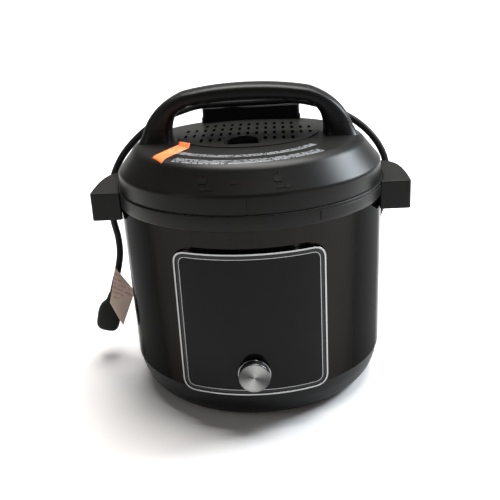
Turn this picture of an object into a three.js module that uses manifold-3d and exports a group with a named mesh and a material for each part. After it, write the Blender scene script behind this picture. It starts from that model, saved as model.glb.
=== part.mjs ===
// Electric pressure cooker, six-litre class. Millimetres, +Z up, front towards -Y.
// The origin is on the worktop, under the middle of the body.
import * as THREE from "three";
import { mergeVertices } from "three/addons/utils/BufferGeometryUtils.js";
import Module from "manifold-3d";

const wasm = await Module();
wasm.setup();

// ---------------------------------------------------------------- driving dimensions
const GAP = 0.3; // between pieces that touch or are cut by each other
const STEEL = 1.2; // sheet steel of the wall, pot and inner lid
const PLASTIC = 2.5; // moulded walls
const ROUND = 36; // sides of the large turned pieces

// Body, from the worktop up
const FOOT_H = 4;
const BASE_TOP = 38; // top edge of the base shell
const WALL_H = 172; // steel wall between base shell and top ring
const RING_H = 15;
const BODY_R = 140.5; // steel wall, outside, at its top
const BODY_TAPER = 2; // how much smaller the wall's radius is at its foot
const RING_STEP = 1.5; // the top ring stands out from the wall
const FLOOR_R = 118; // flat underside of the base shell
const FOOT_R = 9;
const FOOT_CIRCLE_R = 100;

// Ears, one at each side
const EAR_REACH = 25.5; // how far each ear stands out from the top ring
const EAR_DEPTH = 92; // front to back
const EAR_H = 30;
const EAR_Y = 3; // middle of the ears, front to back
const EAR_WALL = 3.5;

// Control panel and dial
const PANEL_W = 146;
const PANEL_H = 149;
const PANEL_BOTTOM = 41; // lower edge above the worktop
const PANEL_PROUD = 6.5; // glass in front of the steel wall
const PANEL_CORNER = 13;
const TRIM_W = 1.5;
const BEZEL_W = 4.2;
const DIAL_Z = 66;
const DIAL_R = 15.5;
const DIAL_H = 9.8;
const DIAL_TRAVEL = 1.2;
const SHAFT_R = 3;

// Cooking chamber
const AIR_GAP = 17.5; // steel wall outside to liner outside
const LINER_WALL = 1.5;
const LINER_BOTTOM = 50;
const LINER_HOLE_R = 45;
const POT_CLEARANCE = 2; // pot to liner, all round
const POT_BOTTOM = 63;
const PLATE_R = 80;
const SENSOR_R = 11;

// Lid
const SKIRT_H = 19; // upright edge of the lid
const SLOPE_RISE = 24.5; // skirt top to crown edge
const SLOPE_RUN = 22; // how far the slope comes in
const DOME_RISE = 3.5; // crown edge to the middle of the dome
const LID_INSET = 2; // lid skirt inside the top ring's outer face
const COVER_R = 76; // slotted steam cover
const COVER_Y = 13; // its middle, behind the middle of the lid
const COVER_T = 2.2;
const COVER_PROUD = 0.8;
const SLOT_W = 3.4;
const SLOT_L = 14.5;
const SLOT_PITCH_X = 9.5;
const SLOT_PITCH_Y = 26.5;
const SLOT_ROWS = 4;
const LUGS = 10;
const LUG_ANGLE = 14; // degrees
const LUG_CLEARANCE = 0.4;

// Carrying handle on the lid
const HANDLE_RISE = 54; // top of the dome to the top of the handle
const HANDLE_T = 18; // grip, top to underside
const HANDLE_W = 36; // grip, front to back
const HANDLE_HALF = 109; // half the span, at the seam on the pedestals
const HANDLE_SEAM = 11.5; // seam above the dome's top
const LEG_W = 24;
const SCREW_R = 2;

// Steam release housing at the back of the lid, with its button and weight
const RELEASE_FRONT = 90;
const RELEASE_R = 134; // its back wall follows the lid
const RELEASE_HALF = 57.5;
const RELEASE_X = 1.5; // its middle, to the right of the lid's
const RELEASE_TOP = 13; // above the dome's top
const BUTTON = { x: -20, y: 113, r: 11.7, rise: 10, travel: 4 };
const VALVE = { x: 10, y: 100.5, pipeR: 4, weightR: 7, travel: 2.5 };

// Float valve in its hooded opening at the front of the steam cover
const FLOAT = { x: -4, y: -36, pinR: 3, headR: 5, hoodR: 18, front: -50, travel: 5 };

// Condensate cup at the back
const CUP_HALF = 30;
const CUP_BOTTOM = 128;
const CUP_H = 54;
const CUP_DEPTH = 13.5;
const CUP_WALL = 2;

// Mains lead
const CORD_R = 4;
const LEAD_ANGLE = 62; // degrees from +X, where the lead leaves the base
const LEAD_Z = 24;
const RELIEF_L = 28;

// ---------------------------------------------------------------- derived sizes
const RING_BOTTOM = BASE_TOP + WALL_H;
const RING_TOP = RING_BOTTOM + RING_H;
const RING_R = BODY_R + RING_STEP;
const LINER_R = BODY_R - AIR_GAP;
const POT_R = LINER_R - LINER_WALL - POT_CLEARANCE;
const POT_LIP_R = POT_R + 5;
const GUTTER_FLOOR = RING_TOP - 13;
const FLANGE_Z = RING_TOP - 8; // underside of the liner's flange
const POT_LIP_Z = FLANGE_Z + 2.5 + GAP;
const LID_R = RING_R - LID_INSET;
const LID_BOTTOM = RING_TOP + GAP;
const SHOULDER_Z = RING_TOP + SKIRT_H;
const CROWN_Z = SHOULDER_Z + SLOPE_RISE;
const CROWN_R = LID_R - SLOPE_RUN;
const DOME_TOP = CROWN_Z + DOME_RISE;
const DOME_K = DOME_RISE / (CROWN_R * CROWN_R);
const INNER_LID_R = LID_R - PLASTIC - 1.1;
const INNER_LID_TOP = SHOULDER_Z - 1.5;
const LUG_IN_R = INNER_LID_R - 2.8;
const FLANGE_R = LUG_IN_R - LUG_CLEARANCE;
const LUG_Z = GUTTER_FLOOR + 1.2;
const HANDLE_TOP = DOME_TOP + HANDLE_RISE;
const SEAM_Z = DOME_TOP + HANDLE_SEAM;
const GLASS_R = BODY_R + PANEL_PROUD;
const DIAL_BACK = -(GLASS_R + 1.5);
const BOARD_Y = -(LINER_R + 4);
const BOARD_Z = FOOT_H + 8;
const CUP_BACK_Y = BODY_R + 4.5;
const LEAD_DIR = new THREE.Vector3(
  Math.cos(THREE.MathUtils.degToRad(LEAD_ANGLE)),
  Math.sin(THREE.MathUtils.degToRad(LEAD_ANGLE)),
  0,
);

const dome = (r) => DOME_TOP - DOME_K * r * r;
const wallRadius = (z) => BODY_R - BODY_TAPER * (1 - (z - BASE_TOP) / WALL_H);

// ---------------------------------------------------------------- solid helpers
// A closed three.js geometry as a manifold solid, turned outside out if need be.
function solid(geometry) {
  const bare = geometry.clone();
  bare.deleteAttribute("normal");
  bare.deleteAttribute("uv");
  const merged = mergeVertices(bare, 1e-3);
  const points = new Float32Array(merged.attributes.position.array);
  const source = merged.index.array;
  const corners = [];
  let volume = 0;
  const [a, b, c] = [new THREE.Vector3(), new THREE.Vector3(), new THREE.Vector3()];
  for (let i = 0; i < source.length; i += 3) {
    const [p, q, r] = [source[i], source[i + 1], source[i + 2]];
    if (p === q || q === r || r === p) continue;
    corners.push(p, q, r);
    a.fromArray(points, 3 * p);
    b.fromArray(points, 3 * q);
    c.fromArray(points, 3 * r);
    volume += a.dot(b.cross(c));
  }
  if (volume < 0) corners.reverse();
  const mesh = new wasm.Mesh({
    numProp: 3,
    vertProperties: points,
    triVerts: Uint32Array.from(corners),
  });
  return new wasm.Manifold(mesh);
}

function geometryOf(body) {
  const mesh = body.getMesh();
  const geometry = new THREE.BufferGeometry();
  geometry.setAttribute("position", new THREE.BufferAttribute(mesh.vertProperties, 3));
  geometry.setIndex(new THREE.BufferAttribute(mesh.triVerts, 1));
  geometry.computeVertexNormals();
  return geometry;
}

// Turns an [r, z] outline about the Z axis. The outline ends on the axis or closes on itself.
function turned(outline, sides = ROUND) {
  const points = outline.map(([r, z]) => new THREE.Vector2(r, z));
  const onAxis = outline[0][0] === 0 && outline.at(-1)[0] === 0;
  if (!onAxis) points.push(points[0].clone());
  const geometry = new THREE.LatheGeometry(points, sides);
  geometry.rotateX(Math.PI / 2);
  return solid(geometry);
}

function block(x0, x1, y0, y1, z0, z1) {
  const geometry = new THREE.BoxGeometry(x1 - x0, y1 - y0, z1 - z0);
  geometry.translate((x0 + x1) / 2, (y0 + y1) / 2, (z0 + z1) / 2);
  return solid(geometry);
}

// A round bar or cone between two points.
function bar(from, to, r0, r1 = r0, sides = 24) {
  const start = new THREE.Vector3(...from);
  const run = new THREE.Vector3(...to).sub(start);
  const geometry = new THREE.CylinderGeometry(r1, r0, run.length(), sides);
  geometry.translate(0, run.length() / 2, 0);
  const up = new THREE.Vector3(0, 1, 0);
  const turn = new THREE.Quaternion().setFromUnitVectors(up, run.clone().normalize());
  geometry.applyQuaternion(turn);
  geometry.translate(start.x, start.y, start.z);
  return solid(geometry);
}

// A plan outline, raised from z0 to z1.
function raised(shape, z0, z1, curveSegments = 4) {
  const options = { depth: z1 - z0, bevelEnabled: false, curveSegments };
  const geometry = new THREE.ExtrudeGeometry(shape, options);
  geometry.translate(0, 0, z0);
  return solid(geometry);
}

// A front outline in X and Z, run from y0 (front) to y1 (back).
function through(shape, y0, y1, curveSegments = 4) {
  const options = { depth: y1 - y0, bevelEnabled: false, curveSegments };
  const geometry = new THREE.ExtrudeGeometry(shape, options);
  geometry.rotateX(Math.PI / 2);
  geometry.translate(0, y1, 0);
  return solid(geometry);
}

function roundedRectangle(x0, x1, y0, y1, r) {
  const shape = new THREE.Shape();
  shape.moveTo(x0 + r, y0);
  shape.lineTo(x1 - r, y0);
  shape.absarc(x1 - r, y0 + r, r, -Math.PI / 2, 0);
  shape.lineTo(x1, y1 - r);
  shape.absarc(x1 - r, y1 - r, r, 0, Math.PI / 2);
  shape.lineTo(x0 + r, y1);
  shape.absarc(x0 + r, y1 - r, r, Math.PI / 2, Math.PI);
  shape.lineTo(x0, y0 + r);
  shape.absarc(x0 + r, y0 + r, r, Math.PI, 1.5 * Math.PI);
  return shape;
}

// A round section swept along a smooth line through the points.
function tube(points, radius, steps, sides = 8) {
  const path = new THREE.CatmullRomCurve3(
    points.map((p) => new THREE.Vector3(...p)),
    false,
    "centripetal",
  );
  const section = new THREE.Shape();
  section.absarc(0, 0, radius, 0, 2 * Math.PI);
  const options = { steps, extrudePath: path, curveSegments: sides / 2, bevelEnabled: false };
  return solid(new THREE.ExtrudeGeometry(section, options));
}

function coilSpring(radius, wire, z0, z1, turns) {
  const stepsPerTurn = 10;
  const points = [];
  for (let i = 0; i <= turns * stepsPerTurn; i += 1) {
    const share = i / (turns * stepsPerTurn);
    const angle = 2 * Math.PI * turns * share;
    const z = THREE.MathUtils.lerp(z0 + wire, z1 - wire, share);
    points.push([radius * Math.cos(angle), radius * Math.sin(angle), z]);
  }
  return tube(points, wire, turns * stepsPerTurn, 6);
}

function joined(pieces) {
  return pieces.reduce((all, piece) => all.add(piece));
}

const finish = (color, roughness, metalness = 0) =>
  new THREE.MeshStandardMaterial({ color, roughness, metalness });
const FINISH = {
  mattBlack: finish(0x1c1d1f, 0.55),
  glossBlack: finish(0x0b0c0e, 0.12, 0.3),
  blackSteel: finish(0x1a1b1f, 0.12, 0.9),
  chrome: finish(0xd8dade, 0.12, 1),
  steel: finish(0xb9bcc0, 0.28, 1),
  aluminium: finish(0xa9adb2, 0.4, 1),
  rubber: finish(0x151515, 0.8),
  silicone: finish(0xe6e2da, 0.5),
  circuit: finish(0x1d5a3a, 0.6),
  part: finish(0x2b3a58, 0.5),
  clear: finish(0x9aa0a6, 0.15),
  paper: finish(0xc9ab95, 0.85),
  lead: finish(0x17181a, 0.5),
};

function piece(name, body, material, at = [0, 0, 0]) {
  const mesh = new THREE.Mesh(geometryOf(body), material);
  mesh.name = name;
  mesh.position.set(...at);
  return mesh;
}

// ---------------------------------------------------------------- base
function baseShell() {
  const t = PLASTIC;
  const foot = wallRadius(BASE_TOP) - 1;
  const outline = [
    [0, FOOT_H],
    [FLOOR_R, FOOT_H],
    [FLOOR_R + 7, FOOT_H + 2.5],
    [foot - 6, FOOT_H + 11],
    [foot - 2, FOOT_H + 22],
    [foot, BASE_TOP],
    [foot - t, BASE_TOP],
    [foot - 2 - t, FOOT_H + 22.5],
    [foot - 6 - t, FOOT_H + 12],
    [FLOOR_R + 5.5, FOOT_H + 5],
    [FLOOR_R - 1, FOOT_H + 3],
    [0, FOOT_H + 3],
  ];
  let shell = turned(outline);
  const inside = LEAD_DIR.clone().multiplyScalar(foot - 20);
  const outside = LEAD_DIR.clone().multiplyScalar(foot + 20);
  shell = shell.subtract(
    bar([inside.x, inside.y, LEAD_Z], [outside.x, outside.y, LEAD_Z], 6.9),
  );
  for (let i = -3; i <= 3; i += 1) {
    shell = shell.subtract(block(-30, 30, i * 9 - 2, i * 9 + 2, 0, FOOT_H + 5));
  }
  const bosses = [-38, 38].flatMap((x) =>
    [36, 78].map((y) => bar([x, y, FOOT_H + 1], [x, y, BOARD_Z - GAP], 3, 3, 12)),
  );
  return joined([shell, ...bosses]);
}

function foot() {
  return bar([0, 0, 0], [0, 0, FOOT_H - GAP], FOOT_R - 1, FOOT_R, 20);
}

function steelWall() {
  const z0 = BASE_TOP + GAP;
  const z1 = RING_BOTTOM - GAP;
  const wall = turned([
    [wallRadius(z0), z0],
    [wallRadius(z1), z1],
    [wallRadius(z1) - STEEL, z1],
    [wallRadius(z0) - STEEL, z0],
  ]);
  const side = 13;
  return wall.subtract(
    block(
      side - PANEL_W / 2,
      PANEL_W / 2 - side,
      -2 * BODY_R,
      -BODY_R / 2,
      PANEL_BOTTOM + side,
      PANEL_BOTTOM + PANEL_H - side,
    ),
  );
}

function topRing() {
  const lip = LINER_R + 2.5;
  return turned([
    [lip, GUTTER_FLOOR - 2.5],
    [RING_R - 5.5, GUTTER_FLOOR - 2.5],
    [RING_R - 5.5, RING_BOTTOM],
    [RING_R, RING_BOTTOM],
    [RING_R, RING_TOP],
    [RING_R - 3, RING_TOP],
    [RING_R - 3, GUTTER_FLOOR],
    [lip + 2.5, GUTTER_FLOOR],
    [lip + 2.5, FLANGE_Z - GAP],
    [lip, FLANGE_Z - GAP],
  ]);
}

// Plan of the right ear: a square front corner and a round back corner.
function earPlan(inset) {
  const outer = RING_R + EAR_REACH - inset;
  const front = EAR_Y - EAR_DEPTH / 2 + inset;
  const back = EAR_Y + EAR_DEPTH / 2 - inset;
  const root = RING_R - 20;
  const shape = new THREE.Shape();
  shape.moveTo(root, front);
  shape.lineTo(outer - 3.5, front);
  shape.quadraticCurveTo(outer - 0.5, front, outer - 0.5, front + 3);
  shape.quadraticCurveTo(outer + 1.8, back - 28, outer - 7, back - 12);
  shape.quadraticCurveTo(outer - 13, back, outer - 26, back);
  shape.lineTo(root, back);
  return shape;
}

function ear(side) {
  const top = RING_TOP;
  const body = raised(earPlan(0), top - EAR_H, top);
  const hollow = raised(earPlan(EAR_WALL), top - EAR_H - 1, top - EAR_WALL);
  const ring = bar([0, 0, 0], [0, 0, HANDLE_TOP], RING_R + GAP, RING_R + GAP, ROUND);
  const hub = bar([0, 0, 0], [0, 0, HANDLE_TOP], RING_R + EAR_WALL, RING_R + EAR_WALL, ROUND);
  const right = body.subtract(hollow.subtract(hub)).subtract(ring);
  return side > 0 ? right : right.mirror([1, 0, 0]);
}

// ---------------------------------------------------------------- panel and dial
const panelOutline = (inset) =>
  roundedRectangle(
    inset - PANEL_W / 2,
    PANEL_W / 2 - inset,
    PANEL_BOTTOM + inset,
    PANEL_BOTTOM + PANEL_H - inset,
    Math.max(PANEL_CORNER - inset, 3),
  );

const panelBlock = (inset) => through(panelOutline(inset), -2 * BODY_R, -BODY_R / 2);

// A curved layer in front of the steel wall, from its own back to the radius given.
function frontLayer(back, front) {
  const z0 = PANEL_BOTTOM - 5;
  const z1 = PANEL_BOTTOM + PANEL_H + 5;
  return turned([
    [back + wallRadius(z0), z0],
    [front, z0],
    [front, z1],
    [back + wallRadius(z1), z1],
  ]);
}

function panelTrim() {
  const ring = panelBlock(0).subtract(panelBlock(TRIM_W));
  return ring.intersect(frontLayer(GAP, GLASS_R + 0.3));
}

function panelFrame() {
  const inset = TRIM_W + GAP;
  const window = panelBlock(inset + BEZEL_W);
  const rim = panelBlock(inset).subtract(window).intersect(frontLayer(GAP, GLASS_R - 0.4));
  const ledge = panelBlock(inset + 1).subtract(panelBlock(inset + BEZEL_W + 3));
  return rim.add(ledge.intersect(frontLayer(GAP, GLASS_R - 4)));
}

function panelGlass() {
  const z0 = PANEL_BOTTOM - 5;
  const z1 = PANEL_BOTTOM + PANEL_H + 5;
  const layer = turned([
    [GLASS_R - 4 + GAP, z0],
    [GLASS_R, z0],
    [GLASS_R, z1],
    [GLASS_R - 4 + GAP, z1],
  ]);
  const glass = panelBlock(TRIM_W + BEZEL_W + 2 * GAP).intersect(layer);
  return glass.subtract(bar([0, -2 * BODY_R, DIAL_Z], [0, -BODY_R / 2, DIAL_Z], SHAFT_R + 1));
}

function dialKnob() {
  const front = DIAL_BACK - DIAL_H;
  const skirt = bar([0, DIAL_BACK, 0], [0, DIAL_BACK - 2, 0], DIAL_R + 0.8, DIAL_R + 0.4, 32);
  const cap = bar([0, DIAL_BACK - 1, 0], [0, front, 0], DIAL_R, DIAL_R - 0.3, 32);
  const bore = bar([0, DIAL_BACK + 1, 0], [0, front + 3.3, 0], SHAFT_R + GAP);
  return skirt.add(cap).subtract(bore);
}

const shaftFront = DIAL_BACK - DIAL_H + 3.3 + DIAL_TRAVEL + GAP;
const encoderFront = BOARD_Y - 12;

function dialShaft() {
  return bar([0, shaftFront, 0], [0, encoderFront + 6, 0], SHAFT_R, SHAFT_R, 20);
}

function encoder() {
  const body = block(-6.5, 6.5, encoderFront, BOARD_Y - GAP, -6.5, 6.5);
  return body.subtract(
    bar([0, encoderFront - 1, 0], [0, encoderFront + 6.5, 0], SHAFT_R + GAP, SHAFT_R + GAP, 20),
  );
}

function controlBoard() {
  const z0 = PANEL_BOTTOM + 17;
  return block(-50, 50, BOARD_Y, BOARD_Y + 1.6, z0, PANEL_BOTTOM + PANEL_H - 12);
}

function displayModule() {
  const z1 = PANEL_BOTTOM + PANEL_H - 30;
  return block(-34, 34, BOARD_Y - 10, BOARD_Y - GAP, z1 - 56, z1);
}

// ---------------------------------------------------------------- chamber and power parts
function liner() {
  const b = LINER_BOTTOM;
  const t = LINER_WALL;
  const flange = FLANGE_Z + 2.5;
  const cup = turned([
    [LINER_HOLE_R, b],
    [LINER_R - 8, b],
    [LINER_R, b + 8],
    [LINER_R, FLANGE_Z],
    [LINER_R + 5, FLANGE_Z],
    [LINER_R + 5, flange],
    [LINER_R - t, flange],
    [LINER_R - t, b + 8.6],
    [LINER_R - 8.6, b + t],
    [LINER_HOLE_R, b + t],
  ]);
  return joined([cup, ...lugs(LINER_R + 4, FLANGE_R, FLANGE_Z, flange, 0)]);
}

// Bayonet lugs: sectors between two radii, spaced evenly round the axis.
function lugs(r0, r1, z0, z1, turn) {
  const half = THREE.MathUtils.degToRad(LUG_ANGLE / 2);
  return Array.from({ length: LUGS }, (_, i) => {
    const middle = turn + (2 * Math.PI * i) / LUGS;
    const shape = new THREE.Shape();
    shape.absarc(0, 0, r1, middle - half, middle + half);
    shape.absarc(0, 0, r0, middle + half, middle - half, true);
    return raised(shape, z0, z1, 1);
  });
}

function heaterPlate() {
  const z0 = LINER_BOTTOM + LINER_WALL + GAP;
  const z1 = POT_BOTTOM - 0.5;
  return turned([
    [SENSOR_R + 1.5, z0 + 2],
    [PLATE_R - 30, z0 + 2],
    [PLATE_R - 28, z0],
    [PLATE_R - 12, z0],
    [PLATE_R - 10, z0 + 2],
    [PLATE_R, z0 + 2],
    [PLATE_R, z1],
    [SENSOR_R + 1.5, z1],
  ]);
}

const bracketTop = LINER_BOTTOM - GAP;

function sensorBracket() {
  const reach = LINER_HOLE_R + 13;
  const strap = block(-reach, reach, -8, 8, bracketTop - 1.8, bracketTop);
  return strap.subtract(bar([0, 0, 0], [0, 0, POT_BOTTOM], 5 + GAP, 5 + GAP, 20));
}

function sensor() {
  const top = POT_BOTTOM - GAP;
  const cap = bar([0, 0, top - 2.2], [0, 0, top], SENSOR_R, SENSOR_R, 32);
  return cap.add(bar([0, 0, bracketTop - 6], [0, 0, top - 1], 5, 5, 20));
}

function powerParts() {
  const z = BOARD_Z;
  const top = z + 1.6 + GAP;
  return [
    piece("power_board", block(-45, 45, 31, 85, z, z + 1.6), FINISH.circuit),
    piece("transformer", block(-38, -10, 34, 58, top, top + 18), FINISH.part),
    piece("relay", block(6, 26, 32, 47, top, top + 16), FINISH.part),
    piece("filter_capacitor", bar([18, 66, top], [18, 66, top + 18], 8, 8, 20), FINISH.aluminium),
  ];
}

function heaterLead() {
  const start = BOARD_Z + 1.6 + 2 * GAP + 16;
  const end = LINER_BOTTOM + LINER_WALL + GAP + 2 - GAP;
  return tube(
    [
      [16, 40, start],
      [16, 40, start + 6],
      [20.5, 32, (start + end) / 2],
      [25, 24, end - 6],
      [25, 24, end],
    ],
    1.5,
    12,
    6,
  );
}

function pot() {
  const b = POT_BOTTOM;
  const t = STEEL;
  return turned([
    [0, b],
    [POT_R - 14, b],
    [POT_R - 4, b + 4],
    [POT_R, b + 14],
    [POT_R, POT_LIP_Z],
    [POT_LIP_R, POT_LIP_Z],
    [POT_LIP_R, POT_LIP_Z + 1.6],
    [POT_R - t, POT_LIP_Z + 1.6],
    [POT_R - t, b + 14.4],
    [POT_R - 4.8, b + 5],
    [POT_R - 14.4, b + t],
    [0, b + t],
  ]);
}

// ---------------------------------------------------------------- lid
// The dome's line from the radius given to the middle, raised by the height given.
const domeLine = (height, from) =>
  [1, 0.55, 0].map((share) => [share * from, dome(share * from) + height]);

// The lid's outline from skirt to middle, moved inwards by the depth given.
function lidOutline(depth) {
  const points = [
    [LID_R - depth, LID_BOTTOM],
    [LID_R - depth, SHOULDER_Z - 3],
    [LID_R - 1 - depth, SHOULDER_Z],
    [LID_R - 3.5 - 0.8 * depth, SHOULDER_Z + 3 - 0.5 * depth],
    [CROWN_R + 4 - 0.75 * depth, CROWN_Z - 3.5 - 0.65 * depth],
    [CROWN_R - 0.4 * depth, CROWN_Z - 0.9 * depth],
  ];
  return [...points, ...domeLine(-depth, 0.88 * CROWN_R)];
}

// Everything under the lid's outer face raised by the clearance, for cutting what sits on it.
function underLid(clearance) {
  const outline = lidOutline(-clearance);
  return turned([[0, LID_BOTTOM - 1], [LID_R + clearance, LID_BOTTOM - 1], ...outline]);
}

// Front outline of the whole handle, its ends down into the lid.
function archShape() {
  const top = HANDLE_TOP;
  const under = top - HANDLE_T;
  const a = HANDLE_HALF;
  const foot = CROWN_Z - 8;
  const inner = a - LEG_W;
  const shape = new THREE.Shape();
  shape.moveTo(a + 10, foot);
  shape.lineTo(a, SEAM_Z);
  shape.quadraticCurveTo(0.86 * a, top - 18, 0.62 * a, top - 6.5);
  shape.quadraticCurveTo(0.34 * a, top, 0, top);
  shape.quadraticCurveTo(-0.34 * a, top, -0.62 * a, top - 6.5);
  shape.quadraticCurveTo(-0.86 * a, top - 18, -a, SEAM_Z);
  shape.lineTo(-a - 10, foot);
  shape.lineTo(-inner, foot);
  shape.lineTo(-inner + 6, SEAM_Z - 3);
  shape.quadraticCurveTo(-inner + 8, under - 3, -inner + 32, under - 1.5);
  shape.quadraticCurveTo(0, under + 2, inner - 32, under - 1.5);
  shape.quadraticCurveTo(inner - 8, under - 3, inner - 6, SEAM_Z - 3);
  shape.lineTo(inner, foot);
  return shape;
}

const arch = through(archShape(), -HANDLE_W / 2, HANDLE_W / 2, 8);
const screwX = HANDLE_HALF - LEG_W / 2;
const screwHead = dome(screwX + 4.5) - PLASTIC - GAP;
const screwTop = SEAM_Z + 8;

function screwHoles() {
  return joined(
    [-screwX, screwX].map((x) =>
      bar([x, 0, screwHead - 10], [x, 0, screwTop + GAP], SCREW_R + GAP, SCREW_R + GAP, 16),
    ),
  );
}

function handleScrew() {
  const head = bar([0, 0, screwHead - 3], [0, 0, screwHead], 4.5, 4.5, 16);
  return head.add(bar([0, 0, screwHead - 1], [0, 0, screwTop], SCREW_R, SCREW_R, 16));
}

function handleGrip() {
  const above = block(-200, 200, -100, 100, SEAM_Z + GAP, HANDLE_TOP + 1);
  return arch.intersect(above).subtract(screwHoles());
}

function hoodShape(inset) {
  const r = FLOAT.hoodR - inset;
  const shape = new THREE.Shape();
  shape.moveTo(FLOAT.x - r, FLOAT.front + inset);
  shape.lineTo(FLOAT.x + r, FLOAT.front + inset);
  shape.lineTo(FLOAT.x + r, FLOAT.y);
  shape.absarc(FLOAT.x, FLOAT.y, r, 0, Math.PI);
  return shape;
}

const coverDisc = (margin) =>
  bar([0, COVER_Y, 0], [0, COVER_Y, HANDLE_TOP], COVER_R + margin, COVER_R + margin, ROUND);

const coverBack = RELEASE_FRONT - GAP;
const coverRegion = (clearance) =>
  block(-200, 200, -200, coverBack + clearance - GAP, 0, 2 * HANDLE_TOP);

function lidCover() {
  const outer = lidOutline(0);
  const inner = lidOutline(PLASTIC).reverse();
  const shell = turned([...inner, ...outer]);
  const feet = arch
    .intersect(block(-200, 200, -100, 100, 0, SEAM_Z))
    .subtract(turned([[0, 0], [LID_R, 0], ...lidOutline(1)]));
  const boss = bar([BUTTON.x, BUTTON.y, CROWN_Z - 12], [BUTTON.x, BUTTON.y, seatTop], 9.5)
    .subtract(turned([[0, 0], [LID_R, 0], ...lidOutline(1)]));
  const recess = coverDisc(GAP)
    .intersect(turned([[0, 2 * DOME_TOP], [LID_R, 2 * DOME_TOP], ...domeLine(COVER_PROUD - COVER_T - GAP, LID_R)]));
  const cut = recess.add(coverDisc(-5)).intersect(coverRegion(GAP));
  const valveHole = bar([VALVE.x, VALVE.y, 0], [VALVE.x, VALVE.y, HANDLE_TOP], VALVE.weightR + 3);
  return shell
    .add(feet)
    .add(boss)
    .subtract(cut)
    .subtract(raised(hoodShape(-GAP), 0, HANDLE_TOP, 8))
    .subtract(valveHole)
    .subtract(screwHoles());
}

// Slotted cover, bent to the dome.
function steamCover() {
  const plate = turned([
    ...domeLine(COVER_PROUD, LID_R),
    ...domeLine(COVER_PROUD - COVER_T, LID_R).reverse(),
  ]);
  const reach = COVER_R - 6;
  const columns = Math.floor(reach / SLOT_PITCH_X);
  const slots = [];
  for (let i = -columns; i <= columns; i += 1) {
    for (let j = 0; j < SLOT_ROWS; j += 1) {
      const x = i * SLOT_PITCH_X;
      const y = COVER_Y + (j - (SLOT_ROWS - 1) / 2) * SLOT_PITCH_Y;
      const half = SLOT_L / 2;
      const inside = Math.hypot(x, Math.abs(y - COVER_Y) + half) < reach;
      const nearHood = Math.abs(x - FLOAT.x) < FLOAT.hoodR + 4 && y - half < FLOAT.y + FLOAT.hoodR + 3;
      if (!inside || nearHood || y + half > coverBack - 3) continue;
      slots.push(block(x - SLOT_W / 2, x + SLOT_W / 2, y - half, y + half, 0, HANDLE_TOP));
    }
  }
  return plate
    .intersect(coverDisc(0))
    .intersect(coverRegion(0))
    .subtract(wasm.Manifold.compose(slots))
    .subtract(raised(hoodShape(-GAP), 0, HANDLE_TOP, 8));
}

// Open-ended D-shaped sleeve round the float valve, higher at the back.
function floatHood() {
  const floor = dome(0) - 17;
  const rear = DOME_TOP + 2;
  const sleeve = raised(hoodShape(0), floor, rear, 8);
  const well = raised(hoodShape(2), floor + 3, rear + 1, 8);
  const hole = bar([FLOAT.x, FLOAT.y, 0], [FLOAT.x, FLOAT.y, rear], FLOAT.pinR + 0.6, FLOAT.pinR + 0.6, 20);
  const slope = new THREE.BoxGeometry(60, 80, 20);
  slope.translate(0, -40, 10);
  slope.rotateX(0.16);
  slope.translate(FLOAT.x, FLOAT.y + FLOAT.hoodR, rear);
  return sleeve.subtract(well).subtract(hole).subtract(solid(slope));
}

const floatSeat = dome(0) - 14;
const sealTop = INNER_LID_TOP - STEEL - FLOAT.travel - 1.3;

function floatPin() {
  const head = bar([0, 0, floatSeat + GAP], [0, 0, floatSeat + 4.5], FLOAT.headR, FLOAT.headR - 0.6, 20);
  return head.add(bar([0, 0, sealTop + GAP], [0, 0, floatSeat + 2], FLOAT.pinR, FLOAT.pinR, 20));
}

function floatSeal() {
  return turned(
    [
      [0, sealTop - 4],
      [4.2, sealTop - 4],
      [5.5, sealTop - 3],
      [5.5, sealTop],
      [0, sealTop],
    ],
    20,
  );
}

function innerLid() {
  const r = INNER_LID_R;
  const t = STEEL;
  const top = INNER_LID_TOP;
  const shell = turned([
    [r, LUG_Z],
    [r, top - 6.5],
    [r - 5, top - 1.5],
    [0, top],
    [0, top - t],
    [r - 5.4, top - 1.5 - t],
    [r - t, top - 7],
    [r - t, LUG_Z],
  ]);
  const holes = [
    bar([FLOAT.x, FLOAT.y, 0], [FLOAT.x, FLOAT.y, top + 1], FLOAT.pinR + 0.6, FLOAT.pinR + 0.6, 20),
    bar([VALVE.x, VALVE.y, 0], [VALVE.x, VALVE.y, top + 1], VALVE.pipeR + GAP, VALVE.pipeR + GAP, 20),
  ];
  const ring = joined([shell, ...lugs(LUG_IN_R, r - 0.5, LUG_Z, LUG_Z + 2.3, 0)]);
  return ring.subtract(joined(holes));
}

function sealingRing() {
  const z0 = POT_LIP_Z + 1.6 + GAP;
  return turned([
    [POT_R - 2, z0],
    [POT_LIP_R + 1.5, z0],
    [POT_LIP_R + 1.5, z0 + 7.5],
    [POT_R - 2, z0 + 7.5],
    [POT_R - 2, z0 + 5],
    [POT_R + 2.5, z0 + 4.4],
    [POT_R + 2.5, z0 + 2.6],
    [POT_R - 2, z0 + 2],
  ]);
}

function ringRack() {
  const wire = 1.25;
  const r = POT_R - 2 - GAP - wire - 0.4;
  const z = POT_LIP_Z + 5.6;
  const torus = new THREE.TorusGeometry(r, wire, 5, ROUND);
  torus.translate(0, 0, z);
  const posts = Array.from({ length: 6 }, (_, i) => {
    const angle = (Math.PI / 3) * (i + 0.5);
    const [x, y] = [r * Math.cos(angle), r * Math.sin(angle)];
    return bar([x, y, z], [x, y, INNER_LID_TOP - 1.5 - STEEL - GAP], wire, wire, 8);
  });
  return joined([solid(torus), ...posts]);
}

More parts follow.
